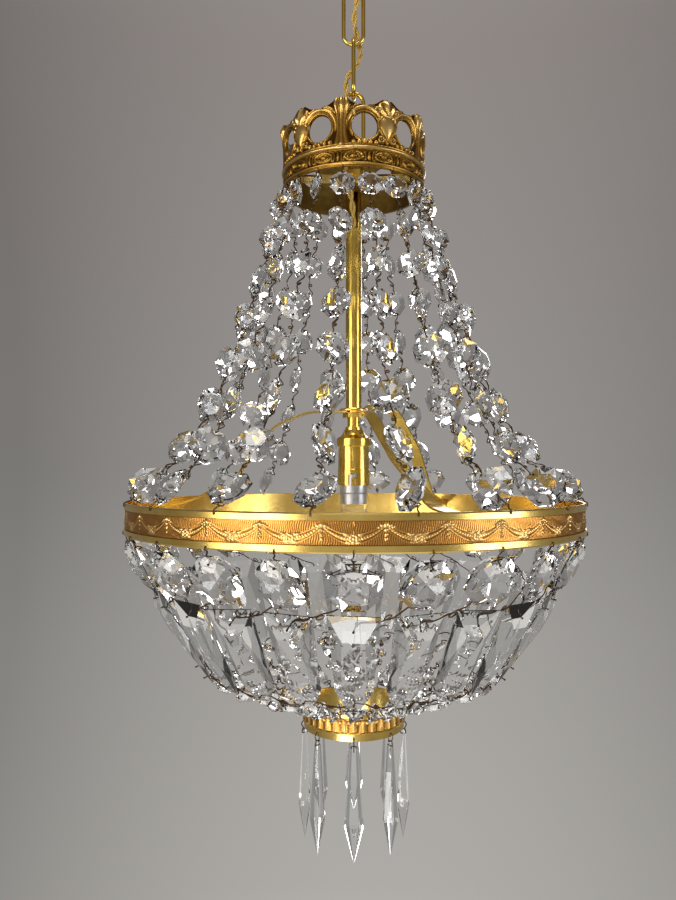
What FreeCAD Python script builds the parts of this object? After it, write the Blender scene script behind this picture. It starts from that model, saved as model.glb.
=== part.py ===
import FreeCAD, Part
import math
import os
from types import SimpleNamespace

import Sketcher
from FreeCAD import Placement, Rotation, Vector

# A crystal basket chandelier on its chain. +Z is up and the origin lies on the ceiling, at the middle
# of the ceiling plate. Azimuths are degrees about Z from +X; the side that is usually seen faces -Y.

DRIVING_SIZES = {
    # ceiling fitting
    "plateRadius": 30.0,
    "plateThickness": 2.5,
    "screwSpacing": 44.0,
    "screwHoleRadius": 2.25,
    "flexHoleOffset": 10.0,
    "flexHoleRadius": 3.2,
    "hookDrop": 64.1,
    "hookWire": 4.0,
    "hookBend": 9.0,
    "hookCrankRise": 19.0,
    "hookCrankFoot": 13.0,
    "hookCrankRadius": 5.0,
    "hookTipRise": 3.0,
    "hookShoulderRadius": 6.0,
    "hookShoulderHeight": 3.0,
    "canopyRadius": 42.0,
    "canopyHeight": 34.0,
    "canopyWall": 1.2,
    "canopyNeckRadius": 11.0,
    "canopyNeckHeight": 6.0,
    "canopyDomeRadius": 35.7,
    "collarRadius": 10.5,
    "collarHeight": 6.0,
    "collarNotch": 8.6,
    "collarWeb": 0.8,
    "grubScrewRadius": 1.4,
    # chain and suspension loop
    "linkLength": 50.0,
    "linkWidth": 19.0,
    "linkWire": 3.2,
    "linkPlay": 0.3,
    "eyeRadius": 6.0,
    "eyeWire": 3.5,
    "loopBaseRadius": 8.0,
    "loopBaseHeight": 6.0,
    "loopSpigotLength": 8.0,
    # flex
    "flexDiameter": 5.2,
    "flexSlotWidth": 6.8,
    "flexSlotHeight": 29.0,
    "flexSlotDrop": 47.0,
    # rod
    "rodRadius": 6.25,
    "rodBore": 5.2,
    "rodLength": 190.0,
    "threadRadius": 5.0,
    "threadBore": 3.7,
    "threadLength": 21.0,
    "rodTurnIn": 6.0,
    "nutFlats": 17.0,
    "nutHeight": 4.0,
    "hubNutFlats": 15.0,
    # crown
    "crownDrop": 18.0,
    "crownRadius": 55.0,
    "crownWall": 1.6,
    "crownBandHeight": 16.5,
    "crownGalleryHeight": 33.0,
    "crownMoulding": 3.0,
    "crownMouldingProud": 1.8,
    "crownBays": 10.0,
    "crownTurn": 8.7,
    "crownOpeningRadius": 9.9,
    "crownOpeningRise": 13.7,
    "crownDipDepth": 5.0,
    "crownDipRadius": 17.0,
    "crownRimWidth": 2.0,
    "crownRimProud": 1.0,
    "crownLeafFoot": 9.0,
    "crownLeafWaist": 5.0,
    "crownLeafBrow": 8.0,
    "crownLeafDepth": 3.8,
    "crownCurlRadius": 2.2,
    "crownCurlWidth": 9.0,
    "crownShieldWidth": 10.5,
    "crownShieldHeight": 19.0,
    "crownShieldProud": 2.6,
    "crownShellRadius": 5.6,
    "crownShellProud": 2.0,
    "crownOvals": 15.0,
    "crownOvalWidth": 11.7,
    "crownOvalHeight": 7.0,
    "crownOvalProud": 1.0,
    "bridgeRise": 13.0,
    "bridgeWidth": 14.0,
    "bridgeThickness": 1.6,
    "bridgeFlange": 8.0,
    # hub and arms
    "hubRadius": 11.5,
    "hubThickness": 1.8,
    "hubChamfer": 0.8,
    "armDrop": 72.2,
    "armWidth": 11.0,
    "armThickness": 1.5,
    "armTabLength": 11.0,
    "armTabDrop": 9.0,
    "armTabBend": 2.5,
    "armHubGap": 0.7,
    "rivetDrop": 6.6,
    "rivetRadius": 1.5,
    "rivetHeadRadius": 3.0,
    "rivetHeadHeight": 1.6,
    # main hoop
    "hoopRadius": 175.0,
    "hoopHeight": 23.0,
    "hoopWall": 1.2,
    "hoopBorder": 4.4,
    "hoopBorderProud": 1.5,
    "hoopBorderSoft": 0.6,
    "friezeThickness": 1.0,
    # bottom ring
    "basketDepth": 156.5,
    "bottomRadius": 39.0,
    "bottomHeight": 19.0,
    "bottomWall": 1.2,
    "bottomMoulding": 1.5,
    "bottomMouldingProud": 1.1,
    "bottomLowerBorder": 5.0,
    "bottomUpperBorder": 2.0,
    "spearHoleRise": 2.5,
    "spearHoleRadius": 1.1,
    # lampholder and bulb
    "capSeat": 6.3,
    "capHeight": 8.5,
    "capRadius": 13.0,
    "capWall": 0.9,
    "capNeckWall": 1.7,
    "capNeckHeight": 2.2,
    "capNeckDepth": 5.44,
    "capDomeRadius": 8.06,
    "holderCollarRadius": 13.5,
    "holderCollarHeight": 7.0,
    "holderCollarSoft": 0.8,
    "barrelRadius": 12.25,
    "barrelHeight": 17.5,
    "skirtRadius": 12.6,
    "skirtBore": 11.3,
    "skirtHeight": 12.7,
    "holderThreadHeight": 5.5,
    "holderThreadDepth": 0.25,
    "skirtChamfer": 0.4,
    "insulatorHeight": 19.5,
    "plungerRadius": 2.0,
    "plungerOffset": 4.5,
    "bulbCapRadius": 10.9,
    "bulbCapLength": 28.5,
    "bulbCapInset": 13.7,
    "bulbCapWall": 0.6,
    "bulbCapGroove": 8.0,
    "bulbCapSoft": 1.0,
    "bulbPinRadius": 1.0,
    "bulbPinReach": 2.1,
    "bulbPinDrop": 6.5,
    "bayonetTurn": 20.0,
    "bayonetFacing": -84.0,
    "bayonetPlay": 0.4,
    "bulbRadius": 22.5,
    "bulbLength": 57.0,
    "bulbNeckRadius": 9.6,
    "bulbNeckLap": 8.0,
    "bulbWaistDrop": 4.0,
    "bulbConeAngle": 38.0,
    "bulbWall": 0.8,
    # crystals
    "strandCount": 18.0,
    "strandBeads": 8.0,
    "strandFirstAngle": -78.0,
    "strandTopBead": 18.0,
    "strandRingBead": 27.0,
    "beadThicknessShare": 0.42,
    "tableShare": 0.56,
    "strandEndPin": 4.5,
    "strandStraightShare": 0.62,
    "strandFlarePower": 6.0,
    "columnCount": 24.0,
    "octagonWidth": 33.5,
    "octagonThickness": 11.0,
    "octagonPin": 3.8,
    "plaquePin": 5.5,
    "plaqueLength": 75.0,
    "plaqueTopWidth": 32.0,
    "plaqueLowWidth": 24.0,
    "plaqueTipWidth": 9.0,
    "plaqueShoulder": 60.0,
    "plaqueThickness": 9.0,
    "plaqueBevel": 4.5,
    "smallBeadWidth": 14.0,
    "smallBeadThickness": 7.0,
    "smallBeads": 4.0,
    "basketOctagonLean": 25.5,
    "basketPlaqueLean": 29.6,
    "spearCount": 8.0,
    "spearLength": 85.0,
    "spearWidth": 12.5,
    "spearThickness": 9.0,
    "spearTopShare": 0.4,
    "spearWidestShare": 0.68,
    "spearLoopRadius": 2.6,
    "wireRadius": 0.45,
    "hookLeg": 2.4,
    "seatGap": 0.3,
    "fitGap": 0.1,
}


class Size:
    # A size that carries its number and the formula that gives it from the sheet's cells.
    def __init__(self, number, formula):
        self.number = number
        self.formula = formula

    def joined(self, other, sign, number):
        formula = other.formula if isinstance(other, Size) else repr(float(other))
        return Size(number, f"({self.formula} {sign} {formula})")

    def __add__(self, other):
        return self.joined(other, "+", self.number + plain(other))

    def __sub__(self, other):
        return self.joined(other, "-", self.number - plain(other))

    def __mul__(self, other):
        return self.joined(other, "*", self.number * plain(other))

    def __truediv__(self, other):
        return self.joined(other, "/", self.number / plain(other))

    def __neg__(self):
        return self * -1.0


def plain(size):
    return size.number if isinstance(size, Size) else float(size)


ZERO = Size(0.0, "0")
X_AXIS = Vector(1, 0, 0)
Y_AXIS = Vector(0, 1, 0)
Z_AXIS = Vector(0, 0, 1)

doc = FreeCAD.newDocument("Chandelier")
sheet = doc.addObject("Spreadsheet::Sheet", "Dims")
for row, (alias, value) in enumerate(DRIVING_SIZES.items(), start=1):
    sheet.set(f"A{row}", alias)
    sheet.set(f"B{row}", str(value))
    sheet.setAlias(f"B{row}", alias)
doc.recompute()
cells = {alias: Size(float(getattr(sheet, alias)), f"Dims.{alias}") for alias in DRIVING_SIZES}
mm = SimpleNamespace(**cells)
number = SimpleNamespace(**{alias: cell.number for alias, cell in cells.items()})
nodes = []


# ---- helpers: document objects bound to the sheet ----

def named(shape, label):
    shape.Label = label
    nodes.append(shape)
    return shape


def bind(piece, **formulas):
    for name, size in formulas.items():
        path = name.replace("_", ".")
        piece.setExpression(path, size.formula if isinstance(size, Size) else repr(float(size)))
    return piece


def lift(piece, height):
    return bind(piece, Placement_Base_z=height)


def primitive(kind, name, **sizes):
    return bind(doc.addObject(f"Part::{kind}", name), **sizes)


def cylinder(name, radius, height, base=ZERO):
    return lift(primitive("Cylinder", name, Radius=radius, Height=height), base)


def cut(name, base, tools):
    tool = tools[0]
    if len(tools) > 1:
        tool = doc.addObject("Part::MultiFuse", f"{name}Tools")
        tool.Shapes = tools
    piece = doc.addObject("Part::Cut", name)
    piece.Base = base
    piece.Tool = tool
    return piece


def fuse(name, pieces):
    piece = doc.addObject("Part::MultiFuse", name)
    piece.Shapes = pieces
    return piece


def group(name, pieces):
    piece = doc.addObject("Part::Compound", name)
    piece.Links = pieces
    return piece


def originPlane(body, role):
    return next(feature for feature in body.Origin.OriginFeatures if feature.Role == role)


def newSketch(body, name, role="XZ_Plane"):
    sketch = body.newObject("Sketcher::SketchObject", name)
    sketch.AttachmentSupport = [(originPlane(body, role), "")]
    sketch.MapMode = "FlatFace"
    return sketch


def holdPoint(sketch, edge, end, place):
    # ties one end of an edge to its place: on an axis where the place is zero there, else at a distance
    for kind, size, axis in (("DistanceX", place[0], -2), ("DistanceY", place[1], -1)):
        if size.number == 0.0:
            sketch.addConstraint(Sketcher.Constraint("PointOnObject", edge, end, axis))
        else:
            index = sketch.addConstraint(Sketcher.Constraint(kind, edge, end, size.number))
            sketch.setExpression(f"Constraints[{index}]", size.formula)


def arcBetween(start, finish, radius):
    # the short arc from start to finish, which bulges to the left of the way if the radius is positive
    chord = finish - start
    rise = math.sqrt(max(radius * radius - chord.Length ** 2 / 4, 0.0))
    left = Vector(-chord.y, chord.x, 0).normalize()
    side = 1.0 if radius > 0 else -1.0
    centre = (start + finish) * 0.5 - left * rise * side
    forward = side < 0
    first, last = (start, finish) if forward else (finish, start)
    opening = math.atan2(first.y - centre.y, first.x - centre.x)
    closing = math.atan2(last.y - centre.y, last.x - centre.x)
    if closing < opening:
        closing += 2 * math.pi
    return Part.ArcOfCircle(Part.Circle(centre, Z_AXIS, abs(radius)), opening, closing), forward


def drawOutline(sketch, places):
    # closed outline; a place is (right, up) or (right, up, radius), whose radius makes the next edge an arc
    corners = [Vector(plain(place[0]), plain(place[1]), 0) for place in places]
    ends = []
    for index, place in enumerate(places):
        start = corners[index]
        finish = corners[(index + 1) % len(corners)]
        if len(place) == 3:
            arc, forward = arcBetween(start, finish, plain(place[2]))
            edge = sketch.addGeometry(arc, False)
            ends.append((edge, 1, 2) if forward else (edge, 2, 1))
            size = place[2] if place[2].number > 0 else -place[2]
            held = sketch.addConstraint(Sketcher.Constraint("Radius", edge, size.number))
            sketch.setExpression(f"Constraints[{held}]", size.formula)
        else:
            edge = sketch.addGeometry(Part.LineSegment(start, finish), False)
            ends.append((edge, 1, 2))
    for index, (edge, first, last) in enumerate(ends):
        after = ends[(index + 1) % len(ends)]
        sketch.addConstraint(Sketcher.Constraint("Coincident", edge, last, after[0], after[1]))
        holdPoint(sketch, edge, first, places[index])


def turned(name, label, base, places):
    # a body of revolution about Z; the places are (radius, height above base)
    body = doc.addObject("PartDesign::Body", name)
    sketch = newSketch(body, f"{name}Outline")
    drawOutline(sketch, places)
    spin = body.newObject("PartDesign::Revolution", f"{name}Spin")
    spin.Profile = sketch
    spin.ReferenceAxis = (sketch, ["V_Axis"])
    spin.Angle = 360.0
    body.Tip = spin
    lift(body, base)
    body.Label = label
    return body


def pierce(body, name, drawing, role, count, flip):
    # a pocket through one side of a turned wall, repeated around Z
    doc.recompute()
    before = body.Shape.Volume
    sketch = newSketch(body, f"{name}Outline", role)
    drawing(sketch)
    pocket = body.newObject("PartDesign::Pocket", f"{name}Pocket")
    pocket.Profile = sketch
    pocket.Type = "ThroughAll"
    pocket.Reversed = flip
    body.Tip = pocket
    doc.recompute()
    if not body.Shape.Volume < before - 0.01:
        raise RuntimeError(f"{name} cuts nothing")
    pattern = body.newObject("PartDesign::PolarPattern", f"{name}Pattern")
    pattern.Originals = [pocket]
    pattern.Axis = (next(axis for axis in body.Origin.OriginFeatures if axis.Role == "Z_Axis"), [""])
    pattern.Angle = 360.0
    bind(pattern, Occurrences=count)
    body.Tip = pattern
    return body


def circleAt(right, up, radius):
    def drawing(sketch):
        centre = Vector(plain(right), plain(up), 0)
        edge = sketch.addGeometry(Part.Circle(centre, Z_AXIS, radius.number), False)
        held = sketch.addConstraint(Sketcher.Constraint("Radius", edge, radius.number))
        sketch.setExpression(f"Constraints[{held}]", radius.formula)
        holdPoint(sketch, edge, 3, (right, up))
    return drawing


# ---- helpers: wires, straps and facets ----

def bentPath(points, radii=None):
    # straight runs joined by tangent arcs; with no radii, each arc is as large as its two runs allow
    edges = []
    start = points[0]
    smallest = None
    for index in range(1, len(points) - 1):
        before = points[index - 1] - points[index]
        after = points[index + 1] - points[index]
        turn = math.pi - before.getAngle(after)
        reach = 0.45 * min(before.Length, after.Length)
        radius = radii[index - 1] if radii else reach / math.tan(turn / 2)
        reach = radius * math.tan(turn / 2)
        entry = points[index] + Vector(before).normalize() * reach
        leave = points[index] + Vector(after).normalize() * reach
        inward = (Vector(before).normalize() + Vector(after).normalize()).normalize()
        centre = points[index] + inward * (radius / math.cos(turn / 2))
        edges.append(Part.LineSegment(start, entry).toShape())
        edges.append(Part.Arc(entry, centre - inward * radius, leave).toShape())
        start = leave
        smallest = radius if smallest is None else min(smallest, radius)
    edges.append(Part.LineSegment(start, points[-1]).toShape())
    return Part.Wire(edges), smallest


def roundWire(points, diameter, radii=None):
    path, smallest = bentPath(points, radii)
    section = Part.Wire([Part.makeCircle(diameter / 2, points[0], points[1] - points[0])])
    solid = path.makePipeShell([section], True, False)
    expected = math.pi * diameter ** 2 / 4 * path.Length
    if abs(solid.Volume - expected) > 0.02 * expected:
        raise RuntimeError("a wire's volume differs from its section times its length")
    return solid, path.Length, smallest


def facetedSolid(rings):
    # flat facets between rings of points; the first ring is capped, and the last is a ring or one point
    faces = [Part.Face(Part.makePolygon(rings[0] + rings[0][:1]))]
    for upper, lower in zip(rings, rings[1:]):
        for index in range(len(upper)):
            after = (index + 1) % len(upper)
            corners = [upper[index], upper[after]]
            corners += [lower[after], lower[index]] if len(lower) > 1 else [lower[0]]
            faces.append(Part.Face(Part.makePolygon(corners + corners[:1])))
    if len(rings[-1]) > 1:
        faces.append(Part.Face(Part.makePolygon(rings[-1] + rings[-1][:1])))
    solid = Part.Solid(Part.Shell(faces))
    if solid.Volume < 0:
        solid.reverse()
    return solid


def regularRing(sides, width, forward, squeeze=1.0):
    # a ring of points with flats at top and bottom, square to X at this distance forward
    corner = width / 2 / math.cos(math.pi / sides)
    angles = [math.pi * (2 * index + 1) / sides for index in range(sides)]
    return [Vector(forward, corner * math.cos(angle) * squeeze, corner * math.sin(angle)) for angle in angles]


def ringPoint(radius, azimuth, height):
    angle = math.radians(azimuth)
    return Vector(radius * math.cos(angle), radius * math.sin(angle), height)


def crystalPlacement(radius, azimuth, height, lean, twist):
    # lean tips the crystal's top outwards; twist turns it about its own string
    turn = Rotation(Z_AXIS, azimuth) * Rotation(Y_AXIS, lean) * Rotation(Z_AXIS, twist)
    return Placement(ringPoint(radius, azimuth, height), turn)


def placed(solid, placement):
    copy = solid.copy()
    copy.Placement = placement
    return copy


def wirePin(start, finish):
    # a straight length of square-drawn wire between two crystals, clear of both by the seat gap
    way = finish - start
    gap = number.seatGap
    rim = number.wireRadius
    section = [Vector(rim, rim, gap), Vector(-rim, rim, gap), Vector(-rim, -rim, gap), Vector(rim, -rim, gap)]
    top = [Vector(corner.x, corner.y, way.Length - gap) for corner in section]
    return placed(facetedSolid([section, top]), Placement(start, Rotation(Z_AXIS, way)))


def edgeHook(azimuth, edge, way):
    # flat-drawn wire bent over the hoop's edge, which carries one string; way is 1 at the top edge, -1 below
    wire = number.wireRadius * 2
    outer = number.hoopRadius + number.fitGap
    inner = hoopWallRadius() - number.fitGap
    foot = edge - way * number.hookLeg
    rest = edge + way * number.seatGap
    crest = rest + way * wire
    places = [(outer, foot), (outer + wire, foot), (outer + wire, crest), (inner - wire, crest)]
    places += [(inner - wire, foot), (inner, foot), (inner, rest), (outer, rest)]
    corners = [Vector(radius, -number.wireRadius, height) for radius, height in places]
    hook = Part.Face(Part.makePolygon(corners + corners[:1])).extrude(Vector(0, wire, 0))
    hook.rotate(Vector(0, 0, 0), Z_AXIS, azimuth)
    return hook


def hoopWallRadius():
    return number.hoopRadius - number.hoopBorderProud - number.hoopWall


def setShape(label, shape):
    feature = doc.addObject("Part::Feature", label)
    feature.Shape = shape
    return named(feature, label)


# ---- heights, from the ceiling down ----

hookZ = -mm.hookDrop
linkPitch = mm.linkLength - mm.linkWire * 2.0 - mm.linkPlay
linkTop = hookZ + mm.hookWire / 2.0 + mm.linkPlay + mm.linkWire
linkCentres = [linkTop - mm.linkLength / 2.0 - linkPitch * float(index) for index in range(3)]
lastLinkBottom = linkCentres[2] - mm.linkLength / 2.0
eyeTop = lastLinkBottom + mm.linkWire + mm.linkPlay + mm.eyeWire
eyeCentre = eyeTop - mm.eyeWire / 2.0 - mm.eyeRadius
rodTop = eyeCentre - mm.eyeRadius - mm.eyeWire / 2.0 - mm.loopBaseHeight
crownBottom = rodTop - mm.crownDrop
crownBandTop = crownBottom + mm.crownBandHeight
bridgeTop = crownBottom + mm.bridgeRise
shoulder = rodTop - mm.rodLength
threadEnd = shoulder - mm.threadLength
armSeat = shoulder - mm.hubThickness
hoopTop = shoulder - mm.armDrop
hoopBottom = hoopTop - mm.hoopHeight
bottomTop = hoopTop - mm.basketDepth
bottomLow = bottomTop - mm.bottomHeight
capRim = threadEnd + mm.capSeat - mm.capHeight
holderCollarBottom = capRim - mm.holderCollarHeight
skirtTop = holderCollarBottom - mm.barrelHeight
skirtBottom = skirtTop - mm.skirtHeight
bulbCapTop = skirtBottom + mm.bulbCapInset
bulbCapBottom = bulbCapTop - mm.bulbCapLength


# ---- ceiling fitting ----

def makeCeilingPlate():
    disc = cylinder("PlateDisc", mm.plateRadius, mm.plateThickness, -mm.plateThickness)
    tools = [cylinder("PlateHookHole", mm.hookWire / 2.0 + mm.fitGap, mm.plateThickness, -mm.plateThickness)]
    for index, side in enumerate((-1.0, 1.0)):
        hole = cylinder(f"PlateScrewHole{index}", mm.screwHoleRadius, mm.plateThickness, -mm.plateThickness)
        tools.append(bind(hole, Placement_Base_y=mm.screwSpacing * (side / 2)))
    flexHole = cylinder("PlateFlexHole", mm.flexHoleRadius, mm.plateThickness, -mm.plateThickness)
    tools.append(bind(flexHole, Placement_Base_x=mm.flexHoleOffset))
    named(cut("CeilingPlate", disc, tools), "ceiling_plate")


def makeCeilingHook():
    # wire hook: riveted in the plate, a shoulder under it, and a bowl whose lowest point carries the chain
    low = hookZ.number
    bend = number.hookBend
    points = [
        Vector(0, 0, 0),
        Vector(0, 0, low + number.hookCrankRise),
        Vector(0, bend, low + number.hookCrankFoot),
        Vector(0, bend, low),
        Vector(0, -bend, low),
        Vector(0, -bend, low + bend + number.hookTipRise),
    ]
    crank = number.hookCrankRadius
    halfTurn = bend - 0.001
    wire = doc.addObject("Part::Feature", "HookWire")
    wire.Shape = roundWire(points, number.hookWire, [crank, crank, halfTurn, halfTurn])[0]
    top = -(mm.plateThickness + mm.hookShoulderHeight)
    shoulderDisc = cylinder("HookShoulder", mm.hookShoulderRadius, mm.hookShoulderHeight, top)
    named(fuse("CeilingHook", [wire, shoulderDisc]), "ceiling_hook")


def makeCanopy():
    rise = mm.canopyHeight
    inner = mm.canopyRadius - mm.canopyWall
    neckBore = mm.canopyNeckRadius - mm.canopyWall
    lip = mm.canopyWall * 2.0
    dome = mm.canopyDomeRadius
    places = [
        (neckBore, ZERO),
        (mm.canopyNeckRadius, ZERO),
        (mm.canopyNeckRadius, mm.canopyNeckHeight, -dome),
        (mm.canopyRadius, rise - lip),
        (mm.canopyRadius, rise),
        (inner, rise),
        (inner, rise - lip, dome - mm.canopyWall),
        (neckBore, mm.canopyNeckHeight + mm.canopyWall),
    ]
    named(turned("CanopyCup", "canopy_cup", -mm.canopyHeight, places), "canopy_cup")


def makeCanopyCollar():
    # keeps the cup up on the hook's shank, with a notch for the flex and a grub screw
    low = -(mm.canopyHeight + mm.seatGap + mm.collarHeight)
    disc = cylinder("CollarDisc", mm.collarRadius, mm.collarHeight, low)
    bore = cylinder("CollarBore", mm.hookWire / 2.0 + mm.fitGap, mm.collarHeight, low)
    reach = mm.collarRadius
    notch = primitive("Box", "CollarNotch", Length=reach, Width=mm.collarNotch, Height=mm.collarHeight)
    notchStart = mm.hookWire / 2.0 + mm.collarWeb
    lift(bind(notch, Placement_Base_x=notchStart, Placement_Base_y=-mm.collarNotch / 2.0), low)
    middle = low + mm.collarHeight / 2.0
    screws = []
    for name, extra in (("CollarScrewHole", mm.fitGap), ("CollarScrew", ZERO)):
        screw = primitive("Cylinder", name, Radius=mm.grubScrewRadius + extra, Height=mm.collarRadius)
        screw.Placement = Placement(Vector(0, 0, 0), Rotation(Y_AXIS, -90))
        lift(bind(screw, Placement_Base_x=-(mm.hookWire / 2.0 + mm.fitGap)), middle)
        screws.append(screw)
    collar = cut("CollarPierced", disc, [bore, notch, screws[0]])
    named(group("CanopyCollar", [collar, screws[1]]), "canopy_collar")


# ---- chain and top loop ----

def makeChainLink(index):
    # an oval link of round wire: two half rings and two straight sides; odd links stand square to even ones
    name = f"ChainLink{index + 1}"
    bend = (mm.linkWidth - mm.linkWire) / 2.0
    straight = mm.linkLength - mm.linkWidth
    pieces = []
    for side in (-1.0, 1.0):
        upright = cylinder(f"{name}Side{side:+.0f}", mm.linkWire / 2.0, straight, -(straight / 2.0))
        pieces.append(bind(upright, Placement_Base_x=bend * side))
        half = primitive("Torus", f"{name}End{side:+.0f}", Radius1=bend, Radius2=mm.linkWire / 2.0)
        half.Angle3 = 180.0
        half.Placement = Placement(Vector(0, 0, 0), Rotation(X_AXIS, 90 * side))
        pieces.append(lift(half, straight * (side / 2)))
    link = fuse(name, pieces)
    link.Placement = Placement(Vector(0, 0, 0), Rotation(Z_AXIS, 90 * (index % 2)))
    named(lift(link, linkCentres[index]), f"chain_link_{index + 1}")


def makeTopLoop():
    eye = primitive("Torus", "LoopEye", Radius1=mm.eyeRadius, Radius2=mm.eyeWire / 2.0)
    eye.Placement = Placement(Vector(0, 0, 0), Rotation(Y_AXIS, 90))
    lift(eye, eyeCentre)
    base = cylinder("LoopBase", mm.loopBaseRadius, mm.loopBaseHeight + mm.eyeWire / 2.0, rodTop)
    spigotLow = rodTop - mm.loopSpigotLength
    spigot = cylinder("LoopSpigot", mm.rodBore - mm.fitGap, mm.loopSpigotLength, spigotLow)
    named(fuse("TopLoop", [eye, base, spigot]), "top_loop")


# ---- flex: one cord along its whole way, in stretches that each follow one body ----

def makeFlex():
    # in through the plate, down beside the hook, through link 1, round link 2, past link 3, into the rod
    rod = rodTop.number
    route = [
        Vector(number.flexHoleOffset, 0, 0),
        Vector(number.flexHoleOffset, 0.2, rod + 197.8),
        Vector(5.9, 0, rod + 184.8),
        Vector(5.9, -0.4, rod + 168.8),
        Vector(5.4, -5.6, rod + 152.8),
        Vector(5.0, -5.8, rod + 140.8),
        Vector(0.4, -2.6, rod + 127.8),
        Vector(0.8, 3.0, rod + 117.8),
        Vector(4.6, 7.0, rod + 109.3),
        Vector(6.2, 5.8, rod + 98.8),
        Vector(3.8, 1.4, rod + 87.8),
        Vector(-3.8, -1.4, rod + 77.8),
        Vector(-6.0, -6.0, rod + 66.8),
        Vector(-5.4, -6.6, rod + 52.8),
        Vector(-4.2, -5.6, rod + 39.8),
        Vector(-4.4, -6.0, rod + 27.8),
        Vector(-6.6, -8.8, rod + 14.8),
        Vector(-6.8, -12.2, rod - 0.2),
        Vector(-4.6, -13.0, rod - 14.2),
        Vector(-0.8, -8.6, rod - 28.2),
        Vector(0.3, -0.6, rod - 47.2),
        Vector(0.0, 0.0, rod - 72.2),
        Vector(0.2, 0.0, rod - 132.2),
        Vector(0.0, 0.0, threadEnd.number - 1.0),
    ]
    # each stretch ends half way along the run that starts at this point of the route
    stretches = {"ceiling_flex": 6, "chain_flex_1": 10, "chain_flex_2": 13, "rod_flex": None}
    start = 0
    lead = []
    for label, last in stretches.items():
        points = lead + route[start:] if last is None else lead + route[start : last + 1]
        if last is not None:
            middle = (route[last] + route[last + 1]) * 0.5
            points.append(middle)
            lead = [middle]
            start = last + 1
        solid, length, smallest = roundWire(points, number.flexDiameter)
        print(f"{label}: {length:.0f} mm long, tightest bend {smallest:.1f} mm")
        setShape(label, solid)


# ---- rod, crown and hub ----

def makeRodTube():
    turnIn = mm.threadLength + mm.rodTurnIn
    top = mm.threadLength + mm.rodLength
    places = [
        (mm.threadBore, ZERO),
        (mm.threadRadius, ZERO),
        (mm.threadRadius, mm.threadLength),
        (mm.rodRadius, mm.threadLength),
        (mm.rodRadius, top),
        (mm.rodBore, top),
        (mm.rodBore, turnIn),
        (mm.threadBore, turnIn),
    ]
    tube = turned("RodTube", "rod_turned", threadEnd, places)
    slotBottom = rodTop - mm.flexSlotDrop
    slot = primitive("Box", "RodSlot", Length=mm.flexSlotWidth, Width=mm.rodRadius, Height=mm.flexSlotHeight)
    bind(slot, Placement_Base_x=-mm.flexSlotWidth / 2.0, Placement_Base_y=-mm.rodRadius)
    lift(slot, slotBottom)
    named(cut("RodSlotted", tube, [slot]), "rod_tube")


def makeHexNut(name, flats, bore, low):
    nut = primitive("Prism", f"{name}Hexagon", Circumradius=flats / math.sqrt(3), Height=mm.nutHeight)
    nut.Polygon = 6
    lift(nut, low)
    hole = cylinder(f"{name}Bore", bore, mm.nutHeight, low)
    return cut(name, nut, [hole])


def makeRodNuts():
    rodHole = mm.rodRadius + mm.fitGap
    upper = makeHexNut("NutAboveBridge", mm.nutFlats, rodHole, bridgeTop)
    lower = makeHexNut("NutBelowBridge", mm.nutFlats, rodHole, bridgeTop - mm.bridgeThickness - mm.nutHeight)
    hubHole = mm.threadRadius + mm.fitGap
    hub = makeHexNut("NutUnderHub", mm.hubNutFlats, hubHole, armSeat - mm.armThickness - mm.nutHeight)
    named(group("RodNuts", [upper, lower, hub]), "rod_nuts")


def ellipseWire(centre, across, upward):
    # an ellipse from its middle to the ends of its long and its short half axis
    longer, shorter = (across, upward) if across.Length > upward.Length else (upward, across)
    return Part.Wire(Part.Ellipse(centre + longer, centre + shorter, centre).toShape())


def makeCrownRims(inner):
    # a raised rim round each bay, which follows the wall's curve
    radius = number.crownOpeningRadius
    outer = number.crownRadius + number.crownRimProud
    height = number.crownBandHeight + number.crownOpeningRise
    axis = Vector(0, 0, height)
    rim = Part.makeCylinder(radius + number.crownRimWidth, outer, axis, X_AXIS)
    rim = rim.cut(Part.makeCylinder(radius, outer, axis, X_AXIS))
    total = number.crownBandHeight + number.crownGalleryHeight
    shell = Part.makeCylinder(outer, total).cut(Part.makeCylinder(inner, total))
    return rim.common(shell)


def makeCrownLeaf(inner):
    # an upright leaf: wide foot, narrow waist, and a brow whose tip curls forward at the crown's top edge
    band = number.crownBandHeight
    curl = number.crownCurlRadius
    top = band + number.crownGalleryHeight - curl
    half = number.crownLeafDepth / 2
    stages = [
        (band, number.crownLeafFoot),
        (band + number.crownOpeningRise, number.crownLeafWaist),
        (top, number.crownLeafBrow),
    ]
    rings = []
    for height, width in stages:
        rings.append(ellipseWire(Vector(inner + half, 0, height), Y_AXIS * (width / 2), X_AXIS * half))
    leaf = Part.makeLoft(rings, True, False)
    start = Vector(inner + curl, -number.crownCurlWidth / 2, top)
    return leaf.fuse(Part.makeCylinder(curl, number.crownCurlWidth, start, Y_AXIS))


def makeCrownShield(inner):
    # an oval shield between two bays with a round shell over it
    middle = number.crownBandHeight + number.crownOpeningRise
    wall = number.crownRadius
    rings = []
    for radius, share in ((inner + number.fitGap, 1.0), (wall, 1.0), (wall + number.crownShieldProud, 0.6)):
        across = Y_AXIS * (number.crownShieldWidth / 2 * share)
        upward = Z_AXIS * (number.crownShieldHeight / 2 * share)
        rings.append(ellipseWire(Vector(radius, 0, middle), across, upward))
    shield = Part.makeLoft(rings, True, True)
    radius = number.crownShellRadius
    top = number.crownBandHeight + number.crownGalleryHeight - radius
    start = Vector(inner + number.fitGap, 0, top)
    depth = wall + number.crownShellProud - start.x
    return shield.fuse(Part.makeCone(radius, radius * 0.6, depth, start, X_AXIS))


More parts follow.
